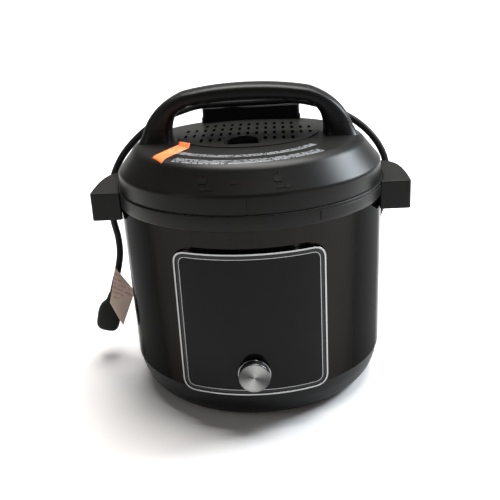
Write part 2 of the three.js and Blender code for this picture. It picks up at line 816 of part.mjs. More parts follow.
// Block that follows the lid's round edge at the back, shrunk on all sides by the inset.
function releaseBlock(inset, top) {
  const x0 = RELEASE_X - RELEASE_HALF + inset;
  const x1 = RELEASE_X + RELEASE_HALF - inset;
  const shape = roundedRectangle(x0, x1, RELEASE_FRONT + inset, RELEASE_R + 10, Math.max(4 - inset, 2));
  const edge = bar([0, 0, 0], [0, 0, HANDLE_TOP], RELEASE_R - inset, RELEASE_R - inset, ROUND);
  return raised(shape, CROWN_Z - 30, top).intersect(edge);
}

function releaseHousing() {
  const top = DOME_TOP + RELEASE_TOP;
  const r = BUTTON.r + GAP;
  return releaseBlock(0, top)
    .subtract(releaseBlock(PLASTIC, top - PLASTIC))
    .subtract(underLid(GAP))
    .subtract(bar([BUTTON.x, BUTTON.y, 0], [BUTTON.x, BUTTON.y, top + 1], r, r, 32));
}

const buttonTop = DOME_TOP + RELEASE_TOP + BUTTON.rise;
const seatTop = DOME_TOP - 2; // where the button's spring stands
const buttonBottom = seatTop + BUTTON.travel + 1.2;

function releaseButton() {
  const cap = bar([0, 0, buttonBottom], [0, 0, buttonTop], BUTTON.r, BUTTON.r - 0.5, 32);
  const flange = bar([0, 0, buttonBottom], [0, 0, buttonBottom + 2], BUTTON.r + 2.5, BUTTON.r + 2.5, 32);
  const hollow = bar([0, 0, buttonBottom - 1], [0, 0, buttonTop - 2.5], BUTTON.r - 2.5, BUTTON.r - 2.5, 24);
  return cap.add(flange).subtract(hollow);
}

function buttonSpring() {
  return coilSpring(BUTTON.r - 5, 0.7, seatTop + GAP, buttonTop - 2.5 - GAP, 4);
}

const pipeTop = dome(Math.hypot(VALVE.x, VALVE.y)) + 2;

function releasePipe() {
  const flangeZ = INNER_LID_TOP + GAP;
  const pipe = bar([0, 0, INNER_LID_TOP - 4], [0, 0, pipeTop], VALVE.pipeR, VALVE.pipeR, 20);
  const flange = bar([0, 0, flangeZ], [0, 0, flangeZ + 3], 8, 8, 20);
  const bore = bar([0, 0, 0], [0, 0, pipeTop + 1], 1.6, 1.6, 12);
  return pipe.add(flange).subtract(bore);
}

function releaseWeight() {
  const r = VALVE.weightR;
  const top = DOME_TOP + RELEASE_TOP - PLASTIC - VALVE.travel - 1.2;
  const cap = bar([0, 0, pipeTop - 12], [0, 0, top], r, r - 0.6, 24);
  const bore = bar([0, 0, 0], [0, 0, pipeTop + GAP], VALVE.pipeR + 0.8, VALVE.pipeR + 0.8, 20);
  return cap.subtract(bore);
}

// Slotted steel cup that keeps food away from the release pipe.
function steamShield() {
  const top = INNER_LID_TOP - STEEL - 1.5 - GAP;
  const cup = turned(
    [
      [0, top - 11],
      [11, top - 11],
      [12, top - 10],
      [12, top],
      [11, top],
      [11, top - 10],
      [0, top - 10],
    ],
    24,
  );
  const slots = [-6, 0, 6].map((y) => block(-20, 20, y - 1, y + 1, top - 8, top - 3));
  return cup.subtract(joined(slots));
}

// ---------------------------------------------------------------- condensate cup
function cupBracket() {
  const reach = CUP_HALF - 6;
  const z0 = CUP_BOTTOM + 12;
  const plate = block(-reach, reach, 0, CUP_BACK_Y - GAP, z0, CUP_BOTTOM + CUP_H + 4);
  const z1 = CUP_BOTTOM + CUP_H + 5;
  const inside = turned([
    [0, z0 - 1],
    [wallRadius(z0 - 1) + GAP, z0 - 1],
    [wallRadius(z1) + GAP, z1],
    [0, z1],
  ]);
  return plate.subtract(inside).intersect(block(-100, 100, BODY_R / 2, 300, 0, 400));
}

function condensateCup() {
  const z1 = CUP_BOTTOM + CUP_H;
  const back = CUP_BACK_Y;
  const outer = roundedRectangle(-CUP_HALF, CUP_HALF, back, back + CUP_DEPTH, 4);
  const inner = roundedRectangle(
    CUP_WALL - CUP_HALF,
    CUP_HALF - CUP_WALL,
    back + CUP_WALL,
    back + CUP_DEPTH - CUP_WALL,
    2,
  );
  return raised(outer, CUP_BOTTOM, z1).subtract(raised(inner, CUP_BOTTOM + CUP_WALL, z1 + 1));
}

// ---------------------------------------------------------------- mains lead
const leadPoint = (r) => [LEAD_DIR.x * r, LEAD_DIR.y * r, LEAD_Z];
const reliefStart = wallRadius(BASE_TOP) + 0.5;
const reliefEnd = reliefStart + RELIEF_L;

function strainRelief() {
  const neck = bar(leadPoint(reliefStart - 14), leadPoint(reliefStart + 1), 6.5, 6.5, 16);
  const flange = bar(leadPoint(reliefStart - 14), leadPoint(reliefStart - 12), 8.5, 8.5, 16);
  const cone = bar(leadPoint(reliefStart), leadPoint(reliefEnd), 8, 5, 16);
  return joined([neck, flange, cone]);
}

// The lead's route, chosen by hand: up behind the right ear, over the lid, down behind the left
// ear and into the plug.
const LEAD_ROUTE = [
  leadPoint(reliefEnd + GAP),
  leadPoint(reliefEnd + 9),
  [92, 173, 28],
  [103.5, 186, 40],
  [115.5, 186, 59],
  [127, 167, 82],
  [138.5, 140, 105],
  [147, 112, 124],
  [152.5, 93, 147],
  [156.5, 79, 172],
  [158.2, 72, 196],
  [157.5, 70, 213],
  [153.5, 70, 228],
  [145.5, 71, 243],
  [133, 73.5, 257.5],
  [117, 78, 269.5],
  [98, 84, 279],
  [76, 91, 286],
  [54, 96, 289.8],
  [26, 96.5, 289.8],
  [0, 95.5, 289.8],
  [-26, 94, 289.8],
  [-57, 89.3, 289.8],
  [-78, 82, 286],
  [-101, 71.5, 279],
  [-121, 63, 268],
  [-139.5, 58, 252],
  [-153, 56, 235],
  [-163, 56, 214],
  [-168, 56, 190],
  [-168, 55.5, 165],
  [-164.5, 54, 143],
  [-163.3, 48, 125],
  [-165.2, 39, 109.5],
  [-168.8, 32, 96],
];
const LEAD_STEPS = 84;
const LEAD_CUTS = [29, 63]; // steps where the lead passes onto the lid and off it again

const PLUG = { x: -181, y: 30, z: 52, w: 28, h: 38, t: 20, tilt: 15, neck: 10 };
const plugAxis = THREE.MathUtils.degToRad(PLUG.tilt);
const plugEntry = (length) => [
  PLUG.x + length * Math.sin(plugAxis),
  PLUG.y,
  PLUG.z + length * Math.cos(plugAxis),
];
const neckEnd = PLUG.h / 2 + PLUG.neck;
LEAD_ROUTE.push(plugEntry(neckEnd + 6), plugEntry(neckEnd + GAP));

const leadPoints = new THREE.CatmullRomCurve3(
  LEAD_ROUTE.map((p) => new THREE.Vector3(...p)),
  false,
  "centripetal",
).getSpacedPoints(LEAD_STEPS);

// The stretch of lead between two of its steps, its ends drawn in by the gap.
function lead(from, to) {
  const points = leadPoints.slice(from, to + 1).map((p) => p.clone());
  const first = points[1].clone().sub(points[0]).setLength(GAP);
  const last = points.at(-2).clone().sub(points.at(-1)).setLength(GAP);
  if (from > 0) points[0].add(first);
  if (to < LEAD_STEPS) points.at(-1).add(last);
  return tube(points.map((p) => p.toArray()), CORD_R, to - from, 8);
}

const tilted = (body) => body.rotate([0, PLUG.tilt, 0]);

function plugBody() {
  const shape = roundedRectangle(-PLUG.w / 2, PLUG.w / 2, -PLUG.h / 2, PLUG.h / 2, 11);
  const body = through(shape, -PLUG.t / 2, PLUG.t / 2);
  const neck = bar([0, 0, PLUG.h / 2 - 3], [0, 0, neckEnd], 6.5, 5, 16);
  return tilted(joined([body, neck]));
}

const PIN_L = 17;

function plugPin(x, z) {
  const y = PLUG.t / 2 + GAP;
  return tilted(block(x - 0.8, x + 0.8, y, y + PIN_L, z - 3.1, z + 3.1));
}

// Paper tag, hanging in front of the plug with its top leaning back to the lead.
const TAG = { y: 19, z: 80, lean: 22.5, t: 0.8 };

function tag() {
  const shape = new THREE.Shape();
  shape.moveTo(-167, 35);
  shape.lineTo(-145, 6);
  shape.lineTo(-160, -34);
  shape.lineTo(-175, -6);
  return through(shape, -TAG.t, 0).rotate([-TAG.lean, 0, 0]);
}

// ---------------------------------------------------------------- assembly
const cooker = new THREE.Group();
cooker.name = "pressure_cooker";

const base = new THREE.Group();
base.add(piece("base_shell", baseShell(), FINISH.mattBlack));
for (let i = 0; i < 4; i += 1) {
  const angle = THREE.MathUtils.degToRad(45 + 90 * i);
  const at = [FOOT_CIRCLE_R * Math.cos(angle), FOOT_CIRCLE_R * Math.sin(angle), 0];
  base.add(piece(`foot_${i + 1}`, foot(), FINISH.rubber, at));
}
base.add(piece("steel_wall", steelWall(), FINISH.blackSteel));
base.add(piece("top_ring", topRing(), FINISH.mattBlack));
base.add(piece("left_ear", ear(-1), FINISH.mattBlack));
base.add(piece("right_ear", ear(1), FINISH.mattBlack));
base.add(piece("panel_trim", panelTrim(), FINISH.chrome));
base.add(piece("panel_frame", panelFrame(), FINISH.glossBlack));
base.add(piece("panel_glass", panelGlass(), FINISH.glossBlack));
base.add(piece("display_module", displayModule(), FINISH.mattBlack));
base.add(piece("control_board", controlBoard(), FINISH.circuit));
base.add(piece("dial_encoder", encoder(), FINISH.part, [0, 0, DIAL_Z]));
base.add(piece("dial_shaft", dialShaft(), FINISH.steel, [0, 0, DIAL_Z]));
base.add(piece("dial_knob", dialKnob(), FINISH.steel, [0, 0, DIAL_Z]));
base.add(piece("liner", liner(), FINISH.aluminium));
base.add(piece("heater_plate", heaterPlate(), FINISH.aluminium));
base.add(piece("sensor_bracket", sensorBracket(), FINISH.steel));
base.add(piece("temperature_sensor", sensor(), FINISH.aluminium));
base.add(piece("sensor_spring", coilSpring(7.2, 0.7, bracketTop + GAP, POT_BOTTOM - 2.8, 3), FINISH.steel));
base.add(...powerParts());
base.add(piece("heater_lead", heaterLead(), FINISH.silicone));
base.add(piece("strain_relief", strainRelief(), FINISH.rubber));
base.add(piece("cup_bracket", cupBracket(), FINISH.mattBlack));
base.add(piece("condensate_cup", condensateCup(), FINISH.clear));
cooker.add(base);

cooker.add(piece("inner_pot", pot(), FINISH.steel));

const lid = new THREE.Group();
lid.add(piece("sealing_ring", sealingRing(), FINISH.silicone));
lid.add(piece("lid_cover", lidCover(), FINISH.mattBlack));
lid.add(piece("inner_lid", innerLid(), FINISH.steel));
lid.add(piece("ring_rack", ringRack(), FINISH.steel));
lid.add(piece("handle_grip", handleGrip(), FINISH.mattBlack));
lid.add(piece("left_screw", handleScrew(), FINISH.steel, [-screwX, 0, 0]));
lid.add(piece("right_screw", handleScrew(), FINISH.steel, [screwX, 0, 0]));
lid.add(piece("steam_cover", steamCover(), FINISH.mattBlack));
lid.add(piece("float_hood", floatHood(), FINISH.mattBlack));
lid.add(piece("float_pin", floatPin(), FINISH.steel, [FLOAT.x, FLOAT.y, 0]));
lid.add(piece("float_seal", floatSeal(), FINISH.silicone, [FLOAT.x, FLOAT.y, 0]));
lid.add(piece("release_housing", releaseHousing(), FINISH.mattBlack));
lid.add(piece("release_button", releaseButton(), FINISH.mattBlack, [BUTTON.x, BUTTON.y, 0]));
lid.add(piece("button_spring", buttonSpring(), FINISH.steel, [BUTTON.x, BUTTON.y, 0]));
lid.add(piece("release_pipe", releasePipe(), FINISH.steel, [VALVE.x, VALVE.y, 0]));
lid.add(piece("release_weight", releaseWeight(), FINISH.steel, [VALVE.x, VALVE.y, 0]));
lid.add(piece("steam_shield", steamShield(), FINISH.steel, [VALVE.x, VALVE.y, 0]));
cooker.add(lid);

const mains = new THREE.Group();
const plugAt = [PLUG.x, PLUG.y, PLUG.z];
mains.add(piece("lead_right", lead(0, LEAD_CUTS[0]), FINISH.lead));
mains.add(piece("lead_over", lead(...LEAD_CUTS), FINISH.lead));
mains.add(piece("lead_left", lead(LEAD_CUTS[1], LEAD_STEPS), FINISH.lead));
mains.add(piece("plug_body", plugBody(), FINISH.rubber, plugAt));
mains.add(piece("plug_pin_1", plugPin(-6, -4), FINISH.steel, plugAt));
mains.add(piece("plug_pin_2", plugPin(6, -4), FINISH.steel, plugAt));
mains.add(piece("plug_pin_3", plugPin(0, 8), FINISH.steel, plugAt));
mains.add(piece("lead_tag", tag(), FINISH.paper, [0, TAG.y, TAG.z]));
cooker.add(mains);

export default cooker;
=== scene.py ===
# %% [markdown]
# # An electric pressure cooker
# The working parts of this cooker already exist as a frame of plain solids with their joints.
# Here each visible piece is made again at its real shape, hung on the body it moves with, and
# given the finish that the real material has: satin moulded plastic, dark coated steel, glass,
# turned metal, vinyl cord and paper.
#
# All sizes are in millimetres until a piece is finished. The last step of each piece turns them
# into metres, because that is what the frame uses.

# %% The frame and its box
import math

import bmesh
import bpy
from mathutils import Matrix, Vector


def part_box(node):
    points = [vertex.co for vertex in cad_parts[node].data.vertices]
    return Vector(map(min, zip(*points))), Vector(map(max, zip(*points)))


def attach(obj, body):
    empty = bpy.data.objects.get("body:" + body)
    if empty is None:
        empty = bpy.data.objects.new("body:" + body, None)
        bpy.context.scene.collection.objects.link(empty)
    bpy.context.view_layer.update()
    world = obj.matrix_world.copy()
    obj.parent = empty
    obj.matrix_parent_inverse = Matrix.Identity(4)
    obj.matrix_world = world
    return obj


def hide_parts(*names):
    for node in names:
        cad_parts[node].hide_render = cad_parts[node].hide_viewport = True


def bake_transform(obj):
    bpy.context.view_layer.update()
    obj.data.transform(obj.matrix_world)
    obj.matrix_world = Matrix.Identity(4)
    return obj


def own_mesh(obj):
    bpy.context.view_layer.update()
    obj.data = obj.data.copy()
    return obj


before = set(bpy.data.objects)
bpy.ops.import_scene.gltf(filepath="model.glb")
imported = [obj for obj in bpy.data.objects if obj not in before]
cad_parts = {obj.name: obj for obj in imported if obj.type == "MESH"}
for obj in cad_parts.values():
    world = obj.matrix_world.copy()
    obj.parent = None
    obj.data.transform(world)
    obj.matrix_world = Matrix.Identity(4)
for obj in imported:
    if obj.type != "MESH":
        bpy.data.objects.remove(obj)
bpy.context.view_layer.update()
MM = 0.001

# %% [markdown]
# ## Camera
# A short telephoto view from a little above the worktop. The camera leans by three degrees, as
# a camera in the hand does.

# %% Camera
CAMERA_PLACE = Vector((0.03075, -0.78536, 0.43095))
CAMERA_AIM = Vector((-0.04198, 0.93679, -0.34737))
CAMERA_UP = Vector((0.03995, 0.34897, 0.93628))

camera_data = bpy.data.cameras.new("camera")
camera_data.sensor_width = 36
camera_data.lens = 53.5
camera = bpy.data.objects.new("camera", camera_data)
bpy.context.scene.collection.objects.link(camera)
across = CAMERA_AIM.cross(CAMERA_UP).normalized()
upright = across.cross(CAMERA_AIM).normalized()
camera.matrix_world = (
    Matrix.Translation(CAMERA_PLACE)
    @ Matrix((across, upright, -CAMERA_AIM.normalized())).transposed().to_4x4()
)
bpy.context.scene.camera = camera

# %% [markdown]
# ## Shader maths
# A finish is a small network of nodes. Wrapping a socket in a class with overloaded operators
# lets its sums be written as ordinary expressions, and one method adds every other node.


# %% Sockets that add and multiply
class Signal:
    """One output socket of a finish, on which Python's operators add Math nodes."""

    def __init__(self, finish, socket):
        self.finish = finish
        self.socket = socket

    def maths(self, operation, *others):
        return self.finish.node("ShaderNodeMath", {"operation": operation}, self, *others)

    def __add__(self, other):
        return self.maths("ADD", other)

    def __sub__(self, other):
        return self.maths("SUBTRACT", other)

    def __mul__(self, other):
        return self.maths("MULTIPLY", other)

    def __truediv__(self, other):
        return self.maths("DIVIDE", other)

    def __gt__(self, other):
        return self.maths("GREATER_THAN", other)

    def __lt__(self, other):
        return self.maths("LESS_THAN", other)

    __radd__ = __add__
    __rmul__ = __mul__


class Finish:
    """A material with one Principled shader, and the nodes that feed it."""

    def __init__(self, name, **constants):
        self.material = bpy.data.materials.new(name)
        self.material.use_nodes = True
        self.tree = self.material.node_tree
        self.shader = self.tree.nodes["Principled BSDF"]
        for socket, value in constants.items():
            self.feed(self.shader.inputs[socket.replace("_", " ")], value)

    def feed(self, socket, value):
        if isinstance(value, Signal):
            self.tree.links.new(value.socket, socket)
        elif socket.type == "RGBA" and len(value) == 3:
            socket.default_value = (*value, 1)
        else:
            socket.default_value = value

    def node(self, kind, settings, *values, output=0, **named):
        made = self.tree.nodes.new(kind)
        for name, value in settings.items():
            setattr(made, name, value)
        for socket, value in zip(made.inputs, values):
            self.feed(socket, value)
        for name, value in named.items():
            self.feed(made.inputs[name], value)
        return Signal(self, made.outputs[output])

    def place(self):
        return self.node("ShaderNodeTexCoord", {}, output="Object")

    def axes(self):
        apart = self.tree.nodes.new("ShaderNodeSeparateXYZ")
        self.feed(apart.inputs[0], self.place())
        return [Signal(self, socket) for socket in apart.outputs]

    def noise(self, scale, detail=2.0, **named):
        return self.node("ShaderNodeTexNoise", {}, Vector=self.place(), Scale=scale,
                         Detail=detail, **named)

    def between(self, amount, low, high):
        """A colour that runs from low to high as amount runs from 0 to 1."""
        mix = self.tree.nodes.new("ShaderNodeMix")
        mix.data_type = "RGBA"
        self.feed(mix.inputs["Factor"], amount)
        self.feed(mix.inputs[6], low)
        self.feed(mix.inputs[7], high)
        return Signal(self, mix.outputs[2])

    def give(self, **inputs):
        for name, value in inputs.items():
            self.feed(self.shader.inputs[name.replace("_", " ")], value)
        return self

    def bump(self, height, distance, strength=1.0):
        normal = self.node("ShaderNodeBump", {}, Strength=strength, Distance=distance,
                           Height=height)
        return self.give(Normal=normal)


# %% [markdown]
# ## Finishes
# Most of the cooker is injection-moulded plastic with a fine spark-eroded texture. Its shine
# is uneven: handling polishes it in soft patches, so the roughness wanders a little. The grain
# is too fine to model, so a noise bump of a few hundredths of a millimetre stands for it.


# %% Moulded plastic
def moulded(name, colour, roughness, grain=0.00004, patches=0.08):
    finish = Finish(name, Specular_IOR_Level=0.17)
    patch = finish.noise(14, 3)
    fine = finish.noise(1500, 2)
    finish.give(
        Base_Color=finish.between(patch, colour, [min(1, c * 1.35) for c in colour]),
        Roughness=roughness - patches / 2 + patch * patches + fine * 0.04,
    )
    return finish.bump(fine, grain, 0.6)


SATIN = (0.0058, 0.0056, 0.0052)
ring_plastic = moulded("ring_plastic", SATIN, 0.36).material
ear_plastic = moulded("ear_plastic", (0.0062, 0.006, 0.0056), 0.4).material
handle_plastic = moulded("handle_plastic", (0.0056, 0.0056, 0.0054), 0.36).material
base_plastic = moulded("base_plastic", (0.004, 0.004, 0.0042), 0.42).material
inner_plastic = moulded("inner_plastic", (0.02, 0.02, 0.022), 0.5).material
rubber = moulded("rubber", (0.012, 0.012, 0.012), 0.65, 0.00008).material

# %% [markdown]
# The lid carries two curved rows of small print and the line where its front cover ends. The
# print is replaced by plain dashes. Both follow circles round a point near the lid's middle, so
# the finish first works out the radius and the angle of each place on the surface.

# %% Lid plastic with its printed rows
PRINT_CENTRE = (-0.004, -0.004)


def polar(finish, centre):
    """Radius in metres and angle in degrees round a centre, measured from the front."""
    x, y, _ = finish.axes()
    x = x - centre[0]
    y = y - centre[1]
    radius = (x * x + y * y).maths("SQRT")
    angle = x.maths("ARCTAN2", y * -1.0) * (180 / math.pi)
    return radius, angle


def band(signal, low, high):
    """1 between low and high, 0 outside."""
    return (signal > low) * (signal < high)


def dashes(finish, radius, angle, inner, rows, pitch, start, end):
    """Rows of short dashes of random length along arcs, as small print looks from afar."""
    row = ((radius - inner) / pitch).maths("FLOOR")
    within = ((radius - inner) / pitch).maths("FRACT")
    cell = (angle * 1.15 + row * 7.3).maths("FLOOR")
    fine = (angle * 3.4 + row * 3.1).maths("FLOOR")

    def chance(step, seed):
        spot = finish.node("ShaderNodeCombineXYZ", {}, step, row, seed)
        return finish.node("ShaderNodeTexWhiteNoise", {"noise_dimensions": "3D"}, spot)

    word = chance(cell, 1.0) > 0.16
    letter = chance(fine, 5.0)
    inside = band(radius, inner, inner + rows * pitch) * band(angle, start, end)
    return inside * word * band(within, 0.2, 0.78) * (0.35 + letter * 0.65)


lid_finish = moulded("lid_plastic", SATIN, 0.34)
lid_radius, lid_angle = polar(lid_finish, PRINT_CENTRE)
lid_z = lid_finish.axes()[2]
printed = dashes(lid_finish, lid_radius, lid_angle, 0.0842, 3, 0.0027, -47, 54)
printed = printed + dashes(lid_finish, lid_radius, lid_angle, 0.1015, 4, 0.0027, -37, 46)
printed = printed * (lid_z > 0.2655)
lid_base = lid_finish.noise(14, 3)
lid_finish.give(
    Base_Color=lid_finish.between(
        printed,
        lid_finish.between(lid_base, SATIN, [c * 1.35 for c in SATIN]),
        (0.36, 0.37, 0.38),
    ),
)
lid_plastic = lid_finish.material

# %% [markdown]
# The wall is stainless steel with a dark, almost mirror-bright coating. Its colours and those of
# the glass mirror less than the real ones, to stay dark over a pale table. Polished sheet is never
# quite flat, so a very long, very low wave bends what it reflects, and a faint vertical brushing
# shows through the coat.

# %% Dark coated steel
wall_finish = Finish("dark_steel", Metallic=0.92, Specular_Tint=(0.22, 0.22, 0.22, 1),
                     Coat_Weight=0.04, Coat_Roughness=0.04)
stretched = wall_finish.node("ShaderNodeMapping", {}, wall_finish.place(), Scale=(900, 900, 6))
brushing = wall_finish.node("ShaderNodeTexNoise", {}, Vector=stretched, Scale=1.0, Detail=2.0)
cloud = wall_finish.noise(22, 3)
wall_finish.give(
    Base_Color=wall_finish.between(brushing, (0.01, 0.0092, 0.0087), (0.017, 0.0158, 0.015)),
    Roughness=0.07 + brushing * 0.05 + cloud * 0.05,
)
wall_finish.bump(wall_finish.noise(9, 1), 0.0012, 0.25)
dark_steel = wall_finish.material

# %% Glass, bezel and bright metal
glass_finish = Finish("panel_glass", Specular_IOR_Level=0.1, Coat_Weight=0.0,
                      Coat_Roughness=0.015)
smudge = glass_finish.noise(35, 4)
glass_finish.give(
    Base_Color=glass_finish.between(smudge, (0.0035, 0.0035, 0.004), (0.006, 0.006, 0.0065)),
    Roughness=0.035 + smudge * 0.05,
)
panel_glass = glass_finish.material

bezel_finish = Finish("bezel_gloss", Specular_IOR_Level=0.25)
bezel_cloud = bezel_finish.noise(60, 2)
bezel_finish.give(Base_Color=(0.006, 0.006, 0.007), Roughness=0.1 + bezel_cloud * 0.06)
bezel_gloss = bezel_finish.material


def metal(name, colour, roughness, spread=0.06, grain=700):
    finish = Finish(name, Metallic=1.0)
    streak = finish.noise(grain, 2)
    patch = finish.noise(40, 2)
    finish.give(
        Base_Color=finish.between(patch, colour, [c * 0.86 for c in colour]),
        Roughness=roughness + streak * spread,
    )
    return finish.bump(streak, 0.00002, 0.5)


chrome = metal("chrome", (0.34, 0.345, 0.35), 0.08).material
pot_steel = metal("pot_steel", (0.62, 0.62, 0.61), 0.22, 0.12).material
small_steel = metal("small_steel", (0.6, 0.6, 0.6), 0.28).material
cast_aluminium = metal("cast_aluminium", (0.55, 0.56, 0.57), 0.42, 0.15, 300).material
plated_pin = metal("plated_pin", (0.72, 0.68, 0.58), 0.2).material

# %% [markdown]
# The dial's face is turned on a lathe. The tool leaves fine rings, and the light on them forms
# two bright fans. These fans are a painted highlight: the colour runs from dark to bright with a
# wave of the angle round the dial's axis. The rings come from a wave of the distance to the dial's
# own axis.

# %% Turned metal of the dial
DIAL_Z = sum(corner[2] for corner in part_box("dial_knob")) / 2
dial_finish = Finish("turned_metal", Metallic=1.0, Anisotropic=0.6)
dx, _, dz = dial_finish.axes()
dz = dz - DIAL_Z
ring_distance = (dx * dx + dz * dz).maths("SQRT")
rings = (ring_distance * 9000.0).maths("SINE") * 0.5 + 0.5
# Painted highlight: two bright fans in the colour, set by the angle round the dial's axis.
painted_highlight_fans = (dx.maths("ARCTAN2", dz) * 2.0 + 0.9).maths("SINE") * 0.5 + 0.5
dial_finish.give(
    Base_Color=dial_finish.between(painted_highlight_fans, (0.05, 0.05, 0.05), (0.26, 0.26, 0.255)),
    Roughness=0.2 + rings * 0.1,
)
dial_finish.bump(rings, 0.00003, 0.6)
turned_metal = dial_finish.material

# %% Silicone, circuit board, smoked cup, paper and the orange label
silicone_finish = Finish("silicone", Subsurface_Weight=0.2, Subsurface_Scale=0.004)
silicone_finish.give(
    Base_Color=silicone_finish.between(silicone_finish.noise(30, 2), (0.62, 0.6, 0.56),
                                       (0.72, 0.7, 0.66)),
    Roughness=0.42 + silicone_finish.noise(90, 2) * 0.1,
)
silicone = silicone_finish.material

board_finish = Finish("circuit_board", Coat_Weight=0.3)
bx = board_finish.axes()[0]
tracks = band((bx * 260.0 + board_finish.noise(60, 1)).maths("FRACT"), 0.0, 0.3)
board_finish.give(
    Base_Color=board_finish.between(tracks, (0.01, 0.06, 0.025), (0.03, 0.14, 0.06)),
    Roughness=0.35 + tracks * 0.1,
)
circuit_board = board_finish.material

cup_finish = Finish("smoked_cup", Transmission_Weight=0.85, IOR=1.49)
cup_finish.give(
    Base_Color=cup_finish.between(cup_finish.noise(20, 2), (0.55, 0.57, 0.6), (0.65, 0.67, 0.7)),
    Roughness=0.06 + cup_finish.noise(120, 2) * 0.08,
)
smoked_cup = cup_finish.material

paper_finish = Finish("tag_paper")
paper_x, _, paper_z = paper_finish.axes()
fibres = paper_finish.noise(420, 4)
crease_bump_and_shade = paper_finish.noise(60, 3)
slant = paper_x * 0.5 + paper_z
lines = band((slant * 190.0).maths("FRACT"), 0.0, 0.42)
marks = lines * (paper_finish.noise(330, 1) > 0.47) * (paper_finish.noise(26, 1) > 0.45)
# The paper's colour follows the crease bump: it is darker where the bump is low, painted shade in
# the creases.
paper_finish.give(
    Base_Color=paper_finish.between(
        marks * 0.5,
        paper_finish.between(crease_bump_and_shade, (0.42, 0.31, 0.25), (0.66, 0.53, 0.45)),
        (0.3, 0.08, 0.06),
    ),
    Roughness=0.75 + fibres * 0.15,
)
paper_finish.bump(crease_bump_and_shade, 0.0012, 0.7)
tag_paper = paper_finish.material

label_finish = Finish("orange_label")
label_x, label_y, _ = label_finish.axes()
along = label_x * 0.52 + label_y * 0.85
side = label_x * 0.85 - label_y * 0.52
label_rows = band((side * 330.0).maths("FRACT"), 0.15, 0.6) * (label_finish.noise(420, 1) > 0.5)
label_rows = label_rows * band(along, -0.097, -0.062)
label_finish.give(
    Base_Color=label_finish.between(label_rows * 0.6, (0.86, 0.17, 0.025), (0.95, 0.5, 0.3)),
    Roughness=0.5 + label_finish.noise(300, 2) * 0.12,
)
orange_label = label_finish.material

cord_finish = moulded("cord_vinyl", (0.011, 0.011, 0.012), 0.42, 0.00003)
cord_vinyl = cord_finish.material

# %% [markdown]
# ## Tools for shapes
# Nearly every part of a cooker is turned, pressed or moulded in a simple direction. So three
# ways of making a shape do most of the work: an outline spun round an axis, an outline pushed
# through a thickness, and a row of rings bridged into a skin.


# %% Outlines
def rounded(outline, radius, steps=4, closed=True):
    """The outline with each corner replaced by a short curve."""
    points = [Vector(p) for p in outline]
    made = []
    last = len(points) - 1
    for i, corner in enumerate(points):
        if not closed and i in (0, last):
            made.append(corner)
            continue
        before = points[i - 1] - corner
        after = points[(i + 1) % len(points)] - corner
        reach = min(radius, before.length * 0.45, after.length * 0.45)
        if reach < 0.05 or before.angle(after) > math.radians(174):
            made.append(corner)
            continue
        start = corner + before.normalized() * reach
        end = corner + after.normalized() * reach
        for k in range(steps + 1):
            t = k / steps
            made.append(start.lerp(corner, t).lerp(corner.lerp(end, t), t))
    return made


def curve(start, control, end, steps=12):
    """Points of a quadratic curve, without its first one."""
    a, b, c = Vector(start), Vector(control), Vector(end)
    return [a.lerp(b, k / steps).lerp(b.lerp(c, k / steps), k / steps) for k in range(1, steps + 1)]


def rectangle(x0, x1, y0, y1, radius, steps=8):
    return rounded([(x0, y0), (x1, y0), (x1, y1), (x0, y1)], radius, steps)


# %% Shapes from outlines
def spun(outline, steps=160, closed=True):
    """An outline of radius and height, spun round the upright axis."""
    bm = bmesh.new()
    verts = [bm.verts.new((p[0], 0, p[1])) for p in outline]
    pairs = list(zip(verts, verts[1:]))
    if closed and outline[0][0] > 0:
        pairs.append((verts[-1], verts[0]))
    edges = [bm.edges.new(pair) for pair in pairs]
    bmesh.ops.spin(bm, geom=verts + edges, cent=(0, 0, 0), axis=(0, 0, 1),
                   angle=2 * math.pi, steps=steps, use_merge=True)
    bmesh.ops.remove_doubles(bm, verts=bm.verts, dist=0.002)
    bmesh.ops.recalc_face_normals(bm, faces=bm.faces)
    return bm


TO_FRONT = Matrix.Rotation(math.pi / 2, 4, "X")


def pushed(outline, low, high, matrix=None):
    """A flat outline pushed from height low to height high, then turned by the matrix."""
    bm = bmesh.new()
    verts = [bm.verts.new((p[0], p[1], low)) for p in outline]
    face = bm.faces.new(verts)
    grown = bmesh.ops.extrude_face_region(bm, geom=[face])["geom"]
    tops = [v for v in grown if isinstance(v, bmesh.types.BMVert)]
    bmesh.ops.translate(bm, vec=(0, 0, high - low), verts=tops)
    bmesh.ops.recalc_face_normals(bm, faces=bm.faces)
    if matrix is not None:
        bmesh.ops.transform(bm, matrix=matrix, verts=bm.verts)
    return bm


def skinned(rings):
    """Rings with equal numbers of points, bridged one to the next and closed at both ends."""
    bm = bmesh.new()
    loops = []
    for ring in rings:
        verts = [bm.verts.new(p) for p in ring]
        loops.append([bm.edges.new(pair) for pair in zip(verts, verts[1:] + verts[:1])])
    for one, two in zip(loops, loops[1:]):
        bmesh.ops.bridge_loops(bm, edges=one + two)
    bmesh.ops.holes_fill(bm, edges=loops[0] + loops[-1], sides=0)
    bmesh.ops.recalc_face_normals(bm, faces=bm.faces)
    return bm


def box(x0, x1, y0, y1, z0, z1):
    return pushed([(x0, y0), (x1, y0), (x1, y1), (x0, y1)], z0, z1)


def rod(start, end, r0, r1, steps=48):
    """A round bar or cone between two points."""
    start, end = Vector(start), Vector(end)
    bm = bmesh.new()
    bmesh.ops.create_cone(bm, cap_ends=True, segments=steps, radius1=r0, radius2=r1,
                          depth=(end - start).length)
    turn = Vector((0, 0, 1)).rotation_difference(end - start).to_matrix().to_4x4()
    place = Matrix.Translation((start + end) / 2)
    bmesh.ops.transform(bm, matrix=place @ turn, verts=bm.verts)
    return bm


# %% Cutting and finishing
def as_object(name, bm):
    mesh = bpy.data.meshes.new(name)
    bm.to_mesh(mesh)
    bm.free()
    made = bpy.data.objects.new(name, mesh)
    bpy.context.scene.collection.objects.link(made)
    return made


